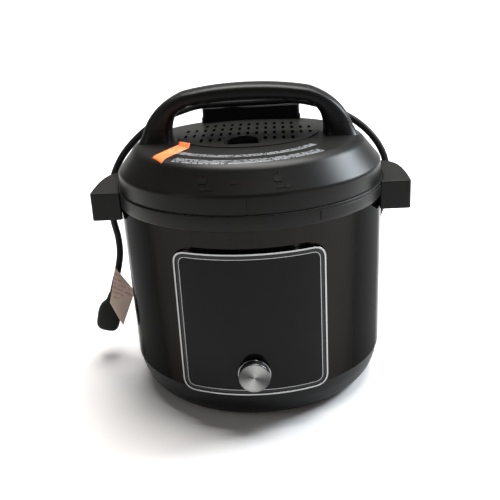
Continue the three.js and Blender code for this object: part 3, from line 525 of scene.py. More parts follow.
def combine(bm, other, operation="DIFFERENCE"):
    """bm cut, joined or crossed with another closed shape."""
    whole, tool = as_object("whole", bm), as_object("tool", other)
    step = whole.modifiers.new("step", "BOOLEAN")
    step.operation = operation
    step.solver = "EXACT"
    step.object = tool
    bpy.context.view_layer.update()
    evaluated = whole.evaluated_get(bpy.context.evaluated_depsgraph_get())
    result = bmesh.new()
    result.from_mesh(evaluated.to_mesh())
    bpy.data.objects.remove(whole)
    bpy.data.objects.remove(tool)
    return result


def merged(*shapes):
    """Several separate shapes in one bmesh, without joining their surfaces."""
    whole = bmesh.new()
    for shape in shapes:
        mesh = bpy.data.meshes.new("part")
        shape.to_mesh(mesh)
        shape.free()
        whole.from_mesh(mesh)
        bpy.data.meshes.remove(mesh)
    return whole


def piece(name, bm, body, material, nodes=(), sharp=32, bevel=0.0, segments=3):
    """Finishes a shape made in millimetres: to metres, shading, bevel, material and body."""
    bmesh.ops.scale(bm, vec=(MM, MM, MM), verts=bm.verts)
    for face in bm.faces:
        face.smooth = True
    for edge in bm.edges:
        steep = len(edge.link_faces) == 2 and edge.calc_face_angle(0) > math.radians(sharp)
        edge.smooth = not steep or bevel > 0
    made = as_object(name, bm)
    made.data.materials.append(material)
    if bevel:
        step = made.modifiers.new("edges", "BEVEL")
        step.width = bevel * MM
        step.segments = segments
        step.limit_method = "ANGLE"
        step.angle_limit = math.radians(sharp)
        step.use_clamp_overlap = True
        made.modifiers.new("shading", "WEIGHTED_NORMAL").keep_sharp = True
    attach(made, body)
    if nodes:
        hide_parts(*nodes)
    print(name, len(made.data.polygons), "faces")
    return made


# %% [markdown]
# ## Mains lead
# A round three-core lead, 8 mm thick. It leaves the base at the back on the right, climbs
# behind the right ear, lies over the release block and hangs down behind the left ear to its
# plug. Its route is a smooth curve through listed points. It is made in three lengths,
# because the lid lifts and turns under it.

# %% The route
LEAD_R = 4
LEAD_ROUTE = [
    (78.5, 147.7, 24), (82.6, 155.4, 24), (92, 173, 28), (103.5, 186, 40), (115.5, 186, 59),
    (127, 167, 82), (138.5, 140, 105), (147, 112, 124), (152.5, 93, 147), (156.5, 79, 172),
    (158.2, 72, 196), (157.5, 70, 213), (153.5, 70, 228), (145.5, 71, 243), (133, 73.5, 257.5),
    (117, 78, 269.5), (98, 84, 279), (76, 91, 286), (54, 96, 289.8), (26, 96.5, 289.8),
    (0, 95.5, 289.8), (-26, 94, 289.8), (-57, 89.3, 289.8), (-78, 82, 286), (-101, 71.5, 279),
    (-121, 63, 268), (-139.5, 58, 252), (-153, 56, 235), (-163, 56, 214), (-168, 56, 190),
    (-168, 55.5, 165), (-164.5, 54, 143), (-163.3, 48, 125), (-165.2, 39, 109.5), (-168.8, 32, 96),
    (-171.9, 30, 85.8), (-173.4, 30, 80.3),
]


def smooth_path(points, steps):
    """A smooth curve through the points, with the given number of steps between each two."""
    knots = [Vector(p) for p in points]
    knots = [knots[0] * 2 - knots[1]] + knots + [knots[-1] * 2 - knots[-2]]
    path = []
    for a, b, c, d in zip(knots, knots[1:], knots[2:], knots[3:]):
        for k in range(steps):
            t = k / steps
            path.append(
                0.5 * ((2 * b) + (c - a) * t + (2 * a - 5 * b + 4 * c - d) * t**2
                       + (3 * b - a - 3 * c + d) * t**3)
            )
    return path + [knots[-2]]


def tube(path, radius, sides=20):
    """A round skin along a path, whose rings turn no more than the path does."""
    rings = []
    heading = (path[1] - path[0]).normalized()
    side = heading.orthogonal().normalized()
    for i, point in enumerate(path):
        ahead = path[min(i + 1, len(path) - 1)] - path[max(i - 1, 0)]
        side = heading.rotation_difference(ahead) @ side
        heading = ahead.normalized()
        other = heading.cross(side)
        rings.append([
            point + radius * (side * math.cos(2 * math.pi * k / sides)
                              + other * math.sin(2 * math.pi * k / sides))
            for k in range(sides)
        ])
    return skinned(rings)


def length_of(path):
    return sum((b - a).length for a, b in zip(path, path[1:]))


lead_path = smooth_path(LEAD_ROUTE, 6)
at_pot = next(i for i, p in enumerate(lead_path) if p.z > 120)
at_lid = next(i for i, p in enumerate(lead_path) if p.z > 185)
print("lead length", round(length_of(lead_path)), "mm")

# %% Three lengths of lead
lead_parts = [
    ("lead_rise", lead_path[: at_pot + 1], ("base", "pot"), 30, 118, ["lead_right"]),
    ("lead_bend", lead_path[at_pot : at_lid + 1], ("pot", "seal"), 122, 183, ["lead_right"]),
    ("lead_drape", lead_path[at_lid:], ("seal", "lid"), 229, 262,
     ["lead_right", "lead_over", "lead_left"]),
]
leads = {}
for name, path, bodies, low, high, nodes in lead_parts:
    bm = tube(path, LEAD_R)
    bmesh.ops.scale(bm, vec=(MM, MM, MM), verts=bm.verts)
    for face in bm.faces:
        face.smooth = len(face.verts) == 4
    lead = as_object(name, bm)
    lead.data.materials.append(cord_vinyl)
    top, foot = Vector((0, 0, high)) * MM, Vector((0, 0, low)) * MM
    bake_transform(lead)
    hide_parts(*nodes)
    leads[name] = (lead, path)
    print(name, round(length_of(path)), "mm")

# %% [markdown]
# The plug is a moulded egg with a short neck where the lead goes in, and three flat pins at its
# back. It is a row of rounded rings bridged together. It hangs tilted by fifteen degrees.

# %% Plug
PLUG_AT = Matrix.Translation((-181, 30, 52)) @ Matrix.Rotation(math.radians(15), 4, "Y")
PLUG_RINGS = [
    (-19, 7.5, 5), (-18, 10.5, 7.2), (-15.5, 12.6, 8.8), (-11, 13.7, 9.7), (-4, 14, 10),
    (3, 14, 10), (9, 13.3, 9.6), (13.5, 11.6, 8.7), (17, 9, 7.4), (20, 6.9, 6.4),
    (24, 5.9, 5.8), (29.2, 5, 5),
]


def egg_ring(z, wide, deep, square=2.5, sides=40):
    ring = []
    for k in range(sides):
        a = 2 * math.pi * k / sides
        c, s = math.cos(a), math.sin(a)
        ring.append((math.copysign(abs(c) ** (2 / square), c) * wide,
                     math.copysign(abs(s) ** (2 / square), s) * deep, z))
    return ring


egg = skinned([egg_ring(*ring) for ring in PLUG_RINGS])
bmesh.ops.transform(egg, matrix=PLUG_AT, verts=egg.verts)
plug = piece("plug", egg, "seal", rubber, ["plug_body"], sharp=50)

plug_pins = []
for number, (x, z) in enumerate([(-6, -4), (6, -4), (0, 8)], 1):
    pin = pushed(rectangle(x - 3.1, x + 3.1, z - 0.8, z + 0.8, 0.4, 3), -17 - 9, -9.5, TO_FRONT)
    bmesh.ops.transform(pin, matrix=PLUG_AT, verts=pin.verts)
    plug_pins.append(piece(f"plug_blade_{number}", pin, "seal", plated_pin,
                           [f"plug_pin_{number}"]))

# %% [markdown]
# A paper tag is folded round the lead. A flat grid of points takes its slanted outline, a low
# wave makes it curl as damp paper does, and a modifier gives it its thickness.

# %% Paper tag
TAG_CORNERS = [(-167, 35), (-145, 6), (-160, -34), (-175, -6)]
TAG_LEAN = math.radians(22.5)


def grid_between(corners, steps):
    """A net of quads between four corners, as rows of points."""
    a, b, c, d = [Vector(p) for p in corners]
    return [[a.lerp(b, i / steps).lerp(d.lerp(c, i / steps), j / steps)
             for j in range(steps + 1)] for i in range(steps + 1)]


def net(rows):
    bm = bmesh.new()
    verts = [[bm.verts.new(p) for p in row] for row in rows]
    for one, two in zip(verts, verts[1:]):
        for k in range(len(one) - 1):
            bm.faces.new((one[k], one[k + 1], two[k + 1], two[k]))
    bmesh.ops.recalc_face_normals(bm, faces=bm.faces)
    return bm


tag_rows = []
for row in grid_between(TAG_CORNERS, 18):
    tag_rows.append([])
    for x, s in row:
        curl = 0.9 * math.sin((x + 160) * 0.16) + 0.7 * math.sin(s * 0.09 + 1)
        tag_rows[-1].append((x, 18.6 + s * math.sin(TAG_LEAN) + curl * math.cos(TAG_LEAN),
                             80 + s * math.cos(TAG_LEAN) - curl * math.sin(TAG_LEAN)))
tag = piece("paper_tag", net(tag_rows), "seal", tag_paper, ["lead_tag"], sharp=80)
tag_thickness = tag.modifiers.new("thickness", "SOLIDIFY")
tag_thickness.thickness = 0.35 * MM

# %% [markdown]
# The strain relief is a tapered rubber sleeve with rings, which keeps the lead from bending
# sharply at the base. It is turned, then laid along the lead's first few centimetres.

# %% Strain relief
relief = [(4.3, 139), (8, 139), (8, 143)]
for k in range(5):
    start = 144.5 + 4.4 * k
    thick = 7.4 - 0.5 * k
    relief += [(thick - 0.9, start - 1), (thick, start), (thick - 0.1, start + 2.2),
               (thick - 0.95, start + 2.9)]
relief += [(5, 167), (4.3, 167)]
LEAD_ANGLE = math.radians(62)
along = Vector((math.cos(LEAD_ANGLE), math.sin(LEAD_ANGLE), 0))
relief_turn = Vector((0, 0, 1)).rotation_difference(along).to_matrix().to_4x4()
sleeve = spun(relief, 48)
bmesh.ops.transform(sleeve, matrix=Matrix.Translation((0, 0, 24)) @ relief_turn,
                    verts=sleeve.verts)
relief_sleeve = piece("relief_sleeve", sleeve, "base", rubber, ["strain_relief"])

# %% Each length's pieces, first point, length and points in metres, worked out and left unused
for name, (lead, path) in leads.items():
    with_pieces = [plug, *plug_pins, tag] if name == "lead_drape" else []
    if name == "lead_rise":
        with_pieces = [relief_sleeve]
    path[0] * MM
    length_of(path) * MM
    [p * MM for p in path]

# %% [markdown]
# ## Base
# The base is one moulded bowl with a floor. It was turned in the mould, so its outline is spun.
# Seven slots in its floor let cooling air in, and four rubber feet keep them off the worktop.

# %% Base bowl and feet
base_outline = rounded(
    [(0, 4), (118, 4), (125, 6.5), (131.5, 15), (135.5, 26), (137.5, 38), (135, 38),
     (133, 26.5), (129, 16), (123.5, 9), (117, 7), (0, 7)], 3, 4, closed=False)
vents = merged(*[pushed(rectangle(-30, 30, 9 * i - 2, 9 * i + 2, 1.9, 6), 0, 10)
                 for i in range(-3, 4)])
bowl = combine(spun(base_outline), vents)
relief_hole = rod(along * 120 + Vector((0, 0, 24)), along * 150 + Vector((0, 0, 24)), 8.4, 8.4)
piece("base_bowl", combine(bowl, relief_hole), "base", base_plastic, ["base_shell"])

FOOT_PLACES = [(1, 1), (-1, 1), (-1, -1), (1, -1)]
for number, (sx, sy) in enumerate(FOOT_PLACES, 1):
    foot = spun([(0, 0), (8.2, 0), (9, 0.8), (9, 3.2), (8.6, 3.95), (0, 3.95)], 48, closed=False)
    bmesh.ops.translate(foot, vec=(sx * 70.71, sy * 70.71, 0), verts=foot.verts)
    piece(f"rubber_foot_{number}", foot, "base", rubber, [f"foot_{number}"])

# %% [markdown]
# ## Wall and top ring
# The wall is rolled from sheet with a very slight taper, and has a window where the panel sits.
# The top ring covers its upper edge and has the gutter that catches drips from the lid. A low
# strip runs round the ring from the front to the right ear.

# %% Wall
WALL = [(137.3, 38.3), (138.5, 38.3), (140.5, 209.7), (139.3, 209.7)]
window = box(-69.5, 69.5, -160, -100, 45, 186)
wall = combine(spun(WALL, 320), window)
piece("wall_sheet", wall, "base", dark_steel, ["steel_wall"])

# %% Top ring and its strip
ring_outline = rounded(
    [(125.5, 209.5), (136.5, 209.5), (136.5, 210), (142, 210), (142, 225), (139, 225),
     (139, 212), (128, 212), (128, 216.7), (125.5, 216.7)], 1.1, 4)
piece("gutter_ring", spun(ring_outline, 240), "base", ring_plastic, ["top_ring"])


def arc_plate(r0, r1, start, end, z0, z1, steps=40):
    """A curved plate between two radii and two angles, measured from the front."""
    turn = [math.radians(start + (end - start) * k / steps - 90) for k in range(steps + 1)]
    outline = [(r1 * math.cos(a), r1 * math.sin(a)) for a in turn]
    outline += [(r0 * math.cos(a), r0 * math.sin(a)) for a in reversed(turn)]
    return pushed(outline, z0, z1)


piece("ring_strip", arc_plate(141, 142.9, 29, 72, 212.5, 222), "base", ring_plastic,
      ["top_ring"], bevel=0.7)

# %% [markdown]
# ## Ears
# Each side has a moulded ear to carry the cooker by. It is a block hollowed from below, so its
# outline is pushed up and a smaller one is cut out of it. The left ear is the mirror image.

# %% Ears
ear_plan = [Vector(p) for p in [(122, -43), (164, -43)]]
ear_plan += curve((164, -43), (167, -43), (167, -40), 6)
ear_plan += curve((167, -40), (169.3, 21), (160.5, 37), 14)
ear_plan += curve((160.5, 37), (154.5, 49), (141.5, 49), 10)
ear_plan += [Vector((122, 49))]
hollow_plan = rounded([(120, -39.5), (163.5, -39.5), (163.7, 0), (163, 20), (157.5, 35),
                       (151, 44), (141, 45.5), (120, 45.5)], 4, 5)


def ear():
    block = combine(pushed(ear_plan, 195, 225), pushed(hollow_plan, 190, 221.5))
    hub = spun([(0, 180), (142.3, 180), (142.3, 240), (0, 240)], 240, closed=False)
    return combine(block, hub)


def hub_band():
    """The wall of the ear next to the ring, below the ear's top."""
    return merged(arc_plate(142.3, 145.5, 73.5, 107, 195, 222, 24),
                  arc_plate(140.9, 142.8, 73, 108.5, 195.2, 209.7, 24))


for side, node in ((1, "right_ear"), (-1, "left_ear")):
    for name, shape in ((node + "_grip", ear()), (node + "_root", hub_band())):
        if side < 0:
            bmesh.ops.scale(shape, vec=(-1, 1, 1), verts=shape.verts)
            bmesh.ops.reverse_faces(shape, faces=shape.faces)
        piece(name, shape, "base", ear_plastic, [node], bevel=1.1)

# %% [markdown]
# ## Control panel
# The panel is a stack of thin curved layers: a bright outer trim, a gloss frame, a bright inner
# line and dark glass. Each layer is the same rounded rectangle, a little smaller each time,
# pushed through a turned tube of the right radius so that its face follows the wall.

# %% Panel layers
PANEL_LOW, PANEL_HIGH, PANEL_HALF, PANEL_CORNER = 41, 190, 73, 13


def panel_shape(inset):
    radius = max(PANEL_CORNER - inset, 2)
    outline = rectangle(-PANEL_HALF + inset, PANEL_HALF - inset, PANEL_LOW + inset,
                        PANEL_HIGH - inset, radius, 10)
    return pushed(outline, 100, 170, TO_FRONT)


def shell(back, front):
    return spun([(back, 30), (front, 30), (front, 200), (back, 200)], 360)


def layer(outer, inner, back, front):
    sheet = combine(shell(back, front), panel_shape(outer), "INTERSECT")
    return combine(sheet, panel_shape(inner)) if inner is not None else sheet


piece("outer_trim", layer(0, 1.6, 141.6, 147.3), "base", chrome, ["panel_trim"],
      bevel=0.35)
piece("gloss_frame", layer(1.7, 5.2, 136, 146.5), "base", bezel_gloss, ["panel_frame"],
      bevel=0.3)
piece("inner_trim", layer(5.3, 5.85, 143, 146.75), "base", chrome, ["panel_frame"])
dial_bore = rod((0, -100, DIAL_Z * 1000), (0, -170, DIAL_Z * 1000), 4, 4)
glass = combine(layer(6.25, None, 143.3, 146.7), dial_bore)
piece("front_glass", glass, "base", panel_glass, ["panel_glass"])

# %% [markdown]
# The dial is a turned cap on a plain skirt. It presses in as well as turns.

# %% Dial
TO_DIAL = Matrix.Translation((0, 0, DIAL_Z * 1000)) @ TO_FRONT
skirt = spun(rounded([(3.3, 148.5), (16.3, 148.5), (16.1, 150.6), (14, 150.6), (3.3, 150.6)],
                     0.4, 3), 128)
cap = spun(rounded([(3.3, 150.6), (15.6, 150.6), (15.5, 157.2), (14.7, 158.2), (13.6, 157.9),
                    (0, 157.5), (0, 155), (3.3, 155)], 0.35, 3, closed=False), 128)
for shape in (skirt, cap):
    bmesh.ops.transform(shape, matrix=TO_DIAL, verts=shape.verts)
piece("dial_skirt", skirt, "dial_knob", chrome, ["dial_knob"])
piece("dial_cap", cap, "dial_knob", turned_metal, ["dial_knob"])

# %% [markdown]
# ## Lid
# The lid is a turned shell: an upright skirt, a slope and a shallow dome. The steam cover sits
# in a round recess in the dome, and the shell is open below it.

# %% Lid outline
DOME_TOP, DOME_RISE, CROWN_R = 272, 3.5, 118
COVER_Y, COVER_R, COVER_BACK = 13, 76, 89.4
FLOAT_X, FLOAT_Y, HOOD_FRONT, HOOD_R = -4, -36, -50, 18


def dome(r):
    return DOME_TOP - DOME_RISE * (r / CROWN_R) ** 2


def dome_line(offset, r0=0, r1=CROWN_R, steps=24):
    return [(r0 + (r1 - r0) * k / steps, dome(r0 + (r1 - r0) * k / steps) + offset)
            for k in range(steps + 1)]


side_line = [Vector((140, 225.3)), Vector((140, 241))]
side_line += curve((140, 241), (139.9, 243.4), (138.2, 245.2), 6)
side_line += curve((138.2, 245.2), (130.5, 254.4), (124.6, 262), 14)
side_line += curve((124.6, 262), (121, 267.4), (113, dome(113)), 12)
lid_outside = side_line + [Vector(p) for p in reversed(dome_line(0, 0, 112))]
lid_inside = [Vector((0, 269.3)), Vector((112, 266.2)), Vector((118.5, 262.2)),
              Vector((134.2, 243.6)), Vector((137.4, 240.2)), Vector((137.4, 225.3))]


def surface_height(r):
    """Height of the lid's outer surface at a distance from the middle."""
    if r <= 113:
        return dome(r)
    for low, high in zip(side_line[1:], side_line[2:]):
        if high.x <= r <= low.x:
            return low.y + (high.y - low.y) * (low.x - r) / (low.x - high.x)
    return 241


def lid_solid(sink):
    """The whole space under the lid's outer surface, lowered a little by sink."""
    return spun([(0, 200), (139, 200)] + [(p.x - sink, p.y - sink * 0.6) for p in side_line[1:]]
                + [(p[0], p[1] - sink * 0.8) for p in reversed(dome_line(0, 0, 112))], 160,
                closed=False)


# %% Lid shell
def hood_plan(inset):
    r = HOOD_R - inset
    arc = [(FLOAT_X + r * math.cos(math.pi * k / 32), FLOAT_Y + r * math.sin(math.pi * k / 32))
           for k in range(33)]
    front = HOOD_FRONT + inset
    return [(FLOAT_X - r, front), (FLOAT_X + r, front)] + arc


def cover_plan(radius, back):
    """A circle cut off straight at the back."""
    plan = []
    for k in range(160):
        a = 2 * math.pi * k / 160
        plan.append((radius * math.cos(a), min(COVER_Y + radius * math.sin(a), back)))
    return plan


recess = combine(pushed(cover_plan(COVER_R + 0.35, COVER_BACK + 0.3), 200, 300),
                 spun(dome_line(-1.7) + [(CROWN_R, 300), (0, 300)], 160, closed=False),
                 "INTERSECT")
lid = combine(spun(lid_outside + lid_inside, 240, closed=False), recess)
lid = combine(lid, pushed(cover_plan(COVER_R - 5, COVER_BACK - 4), 200, 300))
lid = combine(lid, box(0.7, 1.2, -141, -139.3, 220, 241.5))
valve_hole = rod((10, 100.5, 230), (10, 100.5, 300), 10, 10)
lid = combine(lid, valve_hole)
piece("lid_shell", lid, "lid", lid_plastic, ["lid_cover"], sharp=28)

# %% [markdown]
# ## Handle
# The handle is an arch on two feet that swell out of the lid's slope. A rounded section is
# carried along the arch, and each foot is a row of rounded rings that get wider towards the lid.
# Shallow waves under the arch give the fingers a hold.

# %% Arch
def resampled(line, count):
    """Points at even steps along a line."""
    line = [Vector(p) for p in line]
    reach = [0.0]
    for a, b in zip(line, line[1:]):
        reach.append(reach[-1] + (b - a).length)
    result = []
    for k in range(count):
        want = reach[-1] * k / (count - 1)
        i = max(j for j in range(len(reach) - 1) if reach[j] <= want + 1e-9)
        result.append(line[i].lerp(line[i + 1], (want - reach[i]) / (reach[i + 1] - reach[i])))
    return result


SEAM_Z = 283.5
half_outer = [Vector((109, SEAM_Z))] + curve((109, SEAM_Z), (98, 308), (67.6, 319.5), 16)
half_outer += curve((67.6, 319.5), (37, 326), (0, 326), 16)
half_inner = [Vector((79.6, SEAM_Z))] + curve((79.6, SEAM_Z), (76, 304.5), (53, 306.8), 16)
half_inner += curve((53, 306.8), (25, 308.6), (0, 308.6), 16)


def whole(half):
    return [Vector((-p.x, p.y)) for p in half] + list(reversed(half[:-1]))


def section(outer, inner, half_width, along_y=0.0, square=3.4, sides=40):
    """A rounded section between an outer and an inner point of the arch, in X and Z."""
    middle, reach = (outer + inner) / 2, (outer - inner) / 2
    ring = []
    for k in range(sides):
        a = 2 * math.pi * k / sides
        c, s = math.cos(a), math.sin(a)
        u = math.copysign(abs(c) ** (2 / square), c)
        v = math.copysign(abs(s) ** (2 / square), s)
        ring.append((middle.x + reach.x * u, along_y + half_width * v, middle.y + reach.y * u))
    return ring


arch_rings = []
for outer, inner in zip(resampled(whole(half_outer), 121), resampled(whole(half_inner), 121)):
    wave = 0.6 * (1 + math.cos(2 * math.pi * (abs(inner.x) - 52) / 15))
    if abs(abs(inner.x) - 52) < 15 and inner.y > 300:
        inner = inner - Vector((0, wave))
    arch_rings.append(section(outer, inner, 18))
piece("handle_arch", skinned(arch_rings), "lid", handle_plastic, ["handle_grip"],
      sharp=50)

# %% Feet of the handle
FOOT_LEVELS = [(283.2, 79.7, 109.1, 18), (278, 80.2, 111.3, 18.1), (273, 80.4, 114, 18.6),
               (269, 79.8, 116.6, 19.8), (266, 78.8, 118.8, 21.8), (263.5, 77.5, 121, 24.6),
               (261, 77.5, 123.2, 28), (257, 77.5, 125, 32), (252, 79.5, 127, 35)]
for side, name in ((1, "right_handle_foot"), (-1, "left_handle_foot")):
    rings = [section(Vector((side * x1, z)), Vector((side * x0, z)), w, square=3)
             for z, x0, x1, w in FOOT_LEVELS]
    piece(name, combine(skinned(rings), lid_solid(1.2)), "lid", handle_plastic, ["lid_cover"],
          sharp=45)

# %% [markdown]
# ## Steam cover and float valve
# The steam cover is a slice of the dome with four rows of slots. The slots are cut as one
# group. The float valve stands in an open D-shaped hood that rises a little at the back.

# %% Steam cover
SLOT_HALF_W, SLOT_HALF_L, SLOT_PITCH, ROW_PITCH = 1.65, 7.2, 9.5, 26.5
disc = pushed(cover_plan(COVER_R, COVER_BACK), 240, 300)
skin = spun(dome_line(0.8) + list(reversed(dome_line(-1.4))), 160, closed=False)
cover = combine(disc, skin, "INTERSECT")
slots = []
for column in range(-7, 8):
    for row in range(4):
        x, y = column * SLOT_PITCH, COVER_Y + (row - 1.5) * ROW_PITCH
        in_disc = math.hypot(x, abs(y - COVER_Y) + SLOT_HALF_L) < COVER_R - 4
        by_hood = abs(x - FLOAT_X) < HOOD_R + 3 and y < FLOAT_Y + HOOD_R + 10
        if in_disc and not by_hood and y + SLOT_HALF_L < COVER_BACK - 3:
            slots.append(pushed(
                rectangle(x - SLOT_HALF_W, x + SLOT_HALF_W, y - SLOT_HALF_L, y + SLOT_HALF_L,
                          1.6, 3), 240, 300))
print(len(slots), "slots")
cover = combine(cover, merged(*slots))
cover = combine(cover, pushed(hood_plan(-0.35), 240, 300))
piece("slotted_cover", cover, "cover", lid_plastic, ["steam_cover"],
      sharp=28, bevel=0.3, segments=2)

# %% Hood and float
hood = combine(pushed(hood_plan(0), 255, 275.5), pushed(hood_plan(2), 258, 290))
hood = combine(hood, rod((FLOAT_X, FLOAT_Y, 250), (FLOAT_X, FLOAT_Y, 262), 3.6, 3.6))
tilt = box(-40, 40, -80, 0, 0, 20)
bmesh.ops.transform(tilt, matrix=Matrix.Translation((FLOAT_X, FLOAT_Y + HOOD_R + 2, 274.8))
                    @ Matrix.Rotation(0.13, 4, "X"), verts=tilt.verts)
piece("hood_sleeve", combine(hood, tilt), "lid", handle_plastic, ["float_hood"],
      bevel=0.75, segments=4)

pin = spun(rounded([(0, 235.3), (3, 235.3), (3, 258.3), (4.9, 258.3), (4.6, 261.8),
                    (3.6, 262.5), (0, 262.5)], 0.3, 3, closed=False), 40)
bmesh.ops.translate(pin, vec=(FLOAT_X, FLOAT_Y, 0), verts=pin.verts)
piece("float_stem", pin, "float", small_steel, ["float_pin"])

# %% [markdown]
# ## Release block
# The block at the back of the lid covers the steam valve. Its outline is pushed up and hollowed,
# and the lid's own shape is cut from its foot so that it sits on the slope.

# %% Release block
back_arc = [math.radians(66.2 + (114.9 - 66.2) * k / 24) for k in range(25)]
block_plan = [(-56, 90.3), (59, 90.3)]
block_plan += [(133.5 * math.cos(a) + 2.2 * (1 - k / 24), 133.5 * math.sin(a))
               for k, a in enumerate(back_arc)]
block_plan = rounded(block_plan, 5, 5)
middle = Vector((1.5, 108))
inner_plan = [middle + (Vector(p) - middle) * 0.945 for p in block_plan]
block = combine(pushed(block_plan, 240, 285), pushed(inner_plan, 230, 282.5))
block = combine(block, lid_solid(0.8))
block = combine(block, rod((-20, 113, 270), (-20, 113, 300), 12.1, 12.1))
piece("release_block", block, "lid", handle_plastic, ["release_housing"],
      bevel=1.6, segments=4)
lip = [middle + (Vector(p) - middle) * 1.022 for p in block_plan]
lip_ring = combine(pushed(lip, 240, 273.8), pushed(inner_plan, 230, 290))
piece("release_lip", combine(lip_ring, lid_solid(0.8)), "lid", handle_plastic,
      ["release_housing"], bevel=0.6)

# %% Release button
button = spun(rounded([(0, 275.4), (14, 275.4), (14, 277.4), (11.7, 277.4), (11.7, 293),
                       (11, 294.6), (9.4, 295), (6, 294.5), (0, 294.2)], 0.5, 4,
                      closed=False), 96)
bmesh.ops.translate(button, vec=(-20, 113, 0), verts=button.verts)
piece("button_cap", button, "button", ear_plastic, ["release_button"])

# %% [markdown]
# ## Inside
# The pot, liner, seal and inner lid are spun or pressed sheet, so all are turned. The lugs of
# the bayonet lock are short arcs.

# %% Springs
def coil(name, node, body, wire, turns):
    """A spring in the place of the frame's one."""
    low, high = [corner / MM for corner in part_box(node)]
    middle, radius = (low + high) / 2, (high.x - low.x) / 2 - wire
    count = turns * 24
    path = [
        Vector((middle.x + radius * math.cos(2 * math.pi * k / 24),
                middle.y + radius * math.sin(2 * math.pi * k / 24),
                low.z + wire + (high.z - low.z - 2 * wire) * k / count))
        for k in range(count + 1)
    ]
    made = piece(name, tube(path, wire, 10), body, small_steel, [node], sharp=60)
    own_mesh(made)


coil("button_coil", "button_spring", "lid", 0.35, 4)
coil("sensor_coil", "sensor_spring", "base", 0.4, 5)

# %% Pot, liner, seal and inner lid
pot_line = rounded(
    [(0, 63), (105.5, 63), (115.5, 67), (119.5, 77), (119.5, 219.8), (124.5, 219.8),
     (124.5, 221.4), (118.3, 221.4), (118.3, 77.4), (114.7, 68), (105.1, 64.2), (0, 64.2)],
    2.4, 5, closed=False)
piece("pot", spun(pot_line, 200), "pot", pot_steel, ["inner_pot"])

LUG_HALF = 7
liner_line = rounded(
    [(45, 50), (115, 50), (123, 58), (123, 217), (128, 217), (128, 219.5), (121.5, 219.5),
     (121.5, 58.6), (114.4, 51.5), (45, 51.5)], 0.6, 2)
lugs = [arc_plate(127.4, 133.2, 90 + 36 * i - LUG_HALF, 90 + 36 * i + LUG_HALF, 217, 219.5, 8)
        for i in range(10)]
piece("liner_bowl", merged(spun(liner_line, 180), *lugs), "base", cast_aluminium, ["liner"])

inner_line = rounded(
    [(136.4, 213.2), (136.4, 236), (131.4, 241), (0, 242.5), (0, 241.3), (131, 239.8),
     (135.2, 235.5), (135.2, 213.2)], 1.4, 4, closed=False)
lid_lugs = [arc_plate(133.6, 135.9, 90 + 36 * i - LUG_HALF, 90 + 36 * i + LUG_HALF, 213.2,
                      215.5, 8) for i in range(10)]
inner_lid = merged(spun(inner_line, 200), *lid_lugs)
piece("pressed_lid", inner_lid, "lid", pot_steel, ["inner_lid"])

seal_line = rounded([(117.5, 221.7), (126, 221.7), (126, 229.2), (117.5, 229.2),
                     (117.5, 226.7), (122, 226.1), (122, 224.3), (117.5, 223.7)], 0.7, 3)
piece("silicone_seal", spun(seal_line, 200), "seal", silicone, ["sealing_ring"])

# %% Drip cup at the back
cup_plan = rectangle(-30, 30, 145.2, 158.4, 5, 8)
cup_inner = rectangle(-28, 28, 147.2, 156.4, 3.4, 8)
cup = combine(pushed(cup_plan, 128, 182), pushed(cup_inner, 130, 190))
piece("drip_cup", cup, "cup", smoked_cup, ["condensate_cup"], bevel=0.8)

# %% [markdown]
# ## Marks on the lid
# Raised arrows and padlock shapes on the slope show how the lid turns, and a small triangle
# marks its middle. They are pushed from flat outlines, then laid on the slope: across goes
# round the lid, up goes up the slope, and the thickness goes outwards.

# %% Marks
slope_line = side_line[7:22]


def on_slope(shape, angle, height):
    """Lays a flat shape on the slope, at an angle from the front and a height up the slope."""
    for vert in shape.verts:
        u, v, w = vert.co
        left, i = max(v + height, 0), 0
        while i < len(slope_line) - 2 and left > (slope_line[i + 1] - slope_line[i]).length:
            left -= (slope_line[i + 1] - slope_line[i]).length
            i += 1
        up = (slope_line[i + 1] - slope_line[i]).normalized()
        place = slope_line[i] + up * left + Vector((up.y, -up.x)) * w
        turn = math.radians(angle - 90) + u / 130
        vert.co = (place.x * math.cos(turn), place.x * math.sin(turn), place.y)
    bmesh.ops.recalc_face_normals(shape, faces=shape.faces)
    return shape


def padlock(opened):
    bar = 1.15
    lift = 1.8 if opened else 0
    shackle = [(2.6 * math.cos(a), 3 + lift + 2.6 * math.sin(a))
               for a in (math.pi * k / 12 for k in range(13))]
    inner = [((2.6 - bar) * math.cos(a), 3 + lift + (2.6 - bar) * math.sin(a))
             for a in (math.pi * k / 12 for k in range(12, -1, -1))]
    legs = [(-2.6, 1.5 + (3 if opened else 0)), (-2.6 + bar, 1.5 + (3 if opened else 0))]
    hoop = [(2.6 - bar, 1), (2.6, 1)] + shackle + legs + inner
    return merged(pushed(rectangle(-3.6, 3.6, -4, 1.6, 0.8, 3), -0.6, 0.45),
                  pushed(hoop, -0.6, 0.45))


def arrow(direction):
    outline = [(-7, -0.8), (2, -0.8), (2, -2.8), (7, 0), (2, 2.8), (2, 0.8), (-7, 0.8)]
    outline = [(x * direction, y) for x, y in outline]
    return pushed(outline, -0.6, 0.45)


marks = merged(
    on_slope(padlock(True), 13.5, 14), on_slope(arrow(1), 15.5, 4.5),
    on_slope(padlock(False), -17.5, 14), on_slope(arrow(-1), -15.5, 4.5),
    on_slope(pushed([(-2.6, -2), (2.6, -2), (0, 2.6)], -0.6, 0.45), -4.5, 12))
piece("slope_marks", marks, "lid", ear_plastic, ["lid_cover"])

# %% [markdown]
# A plain orange paper label lies on the left of the dome, with one end folded over. It is a net
# of points dropped onto the lid's surface and given the thickness of paper.

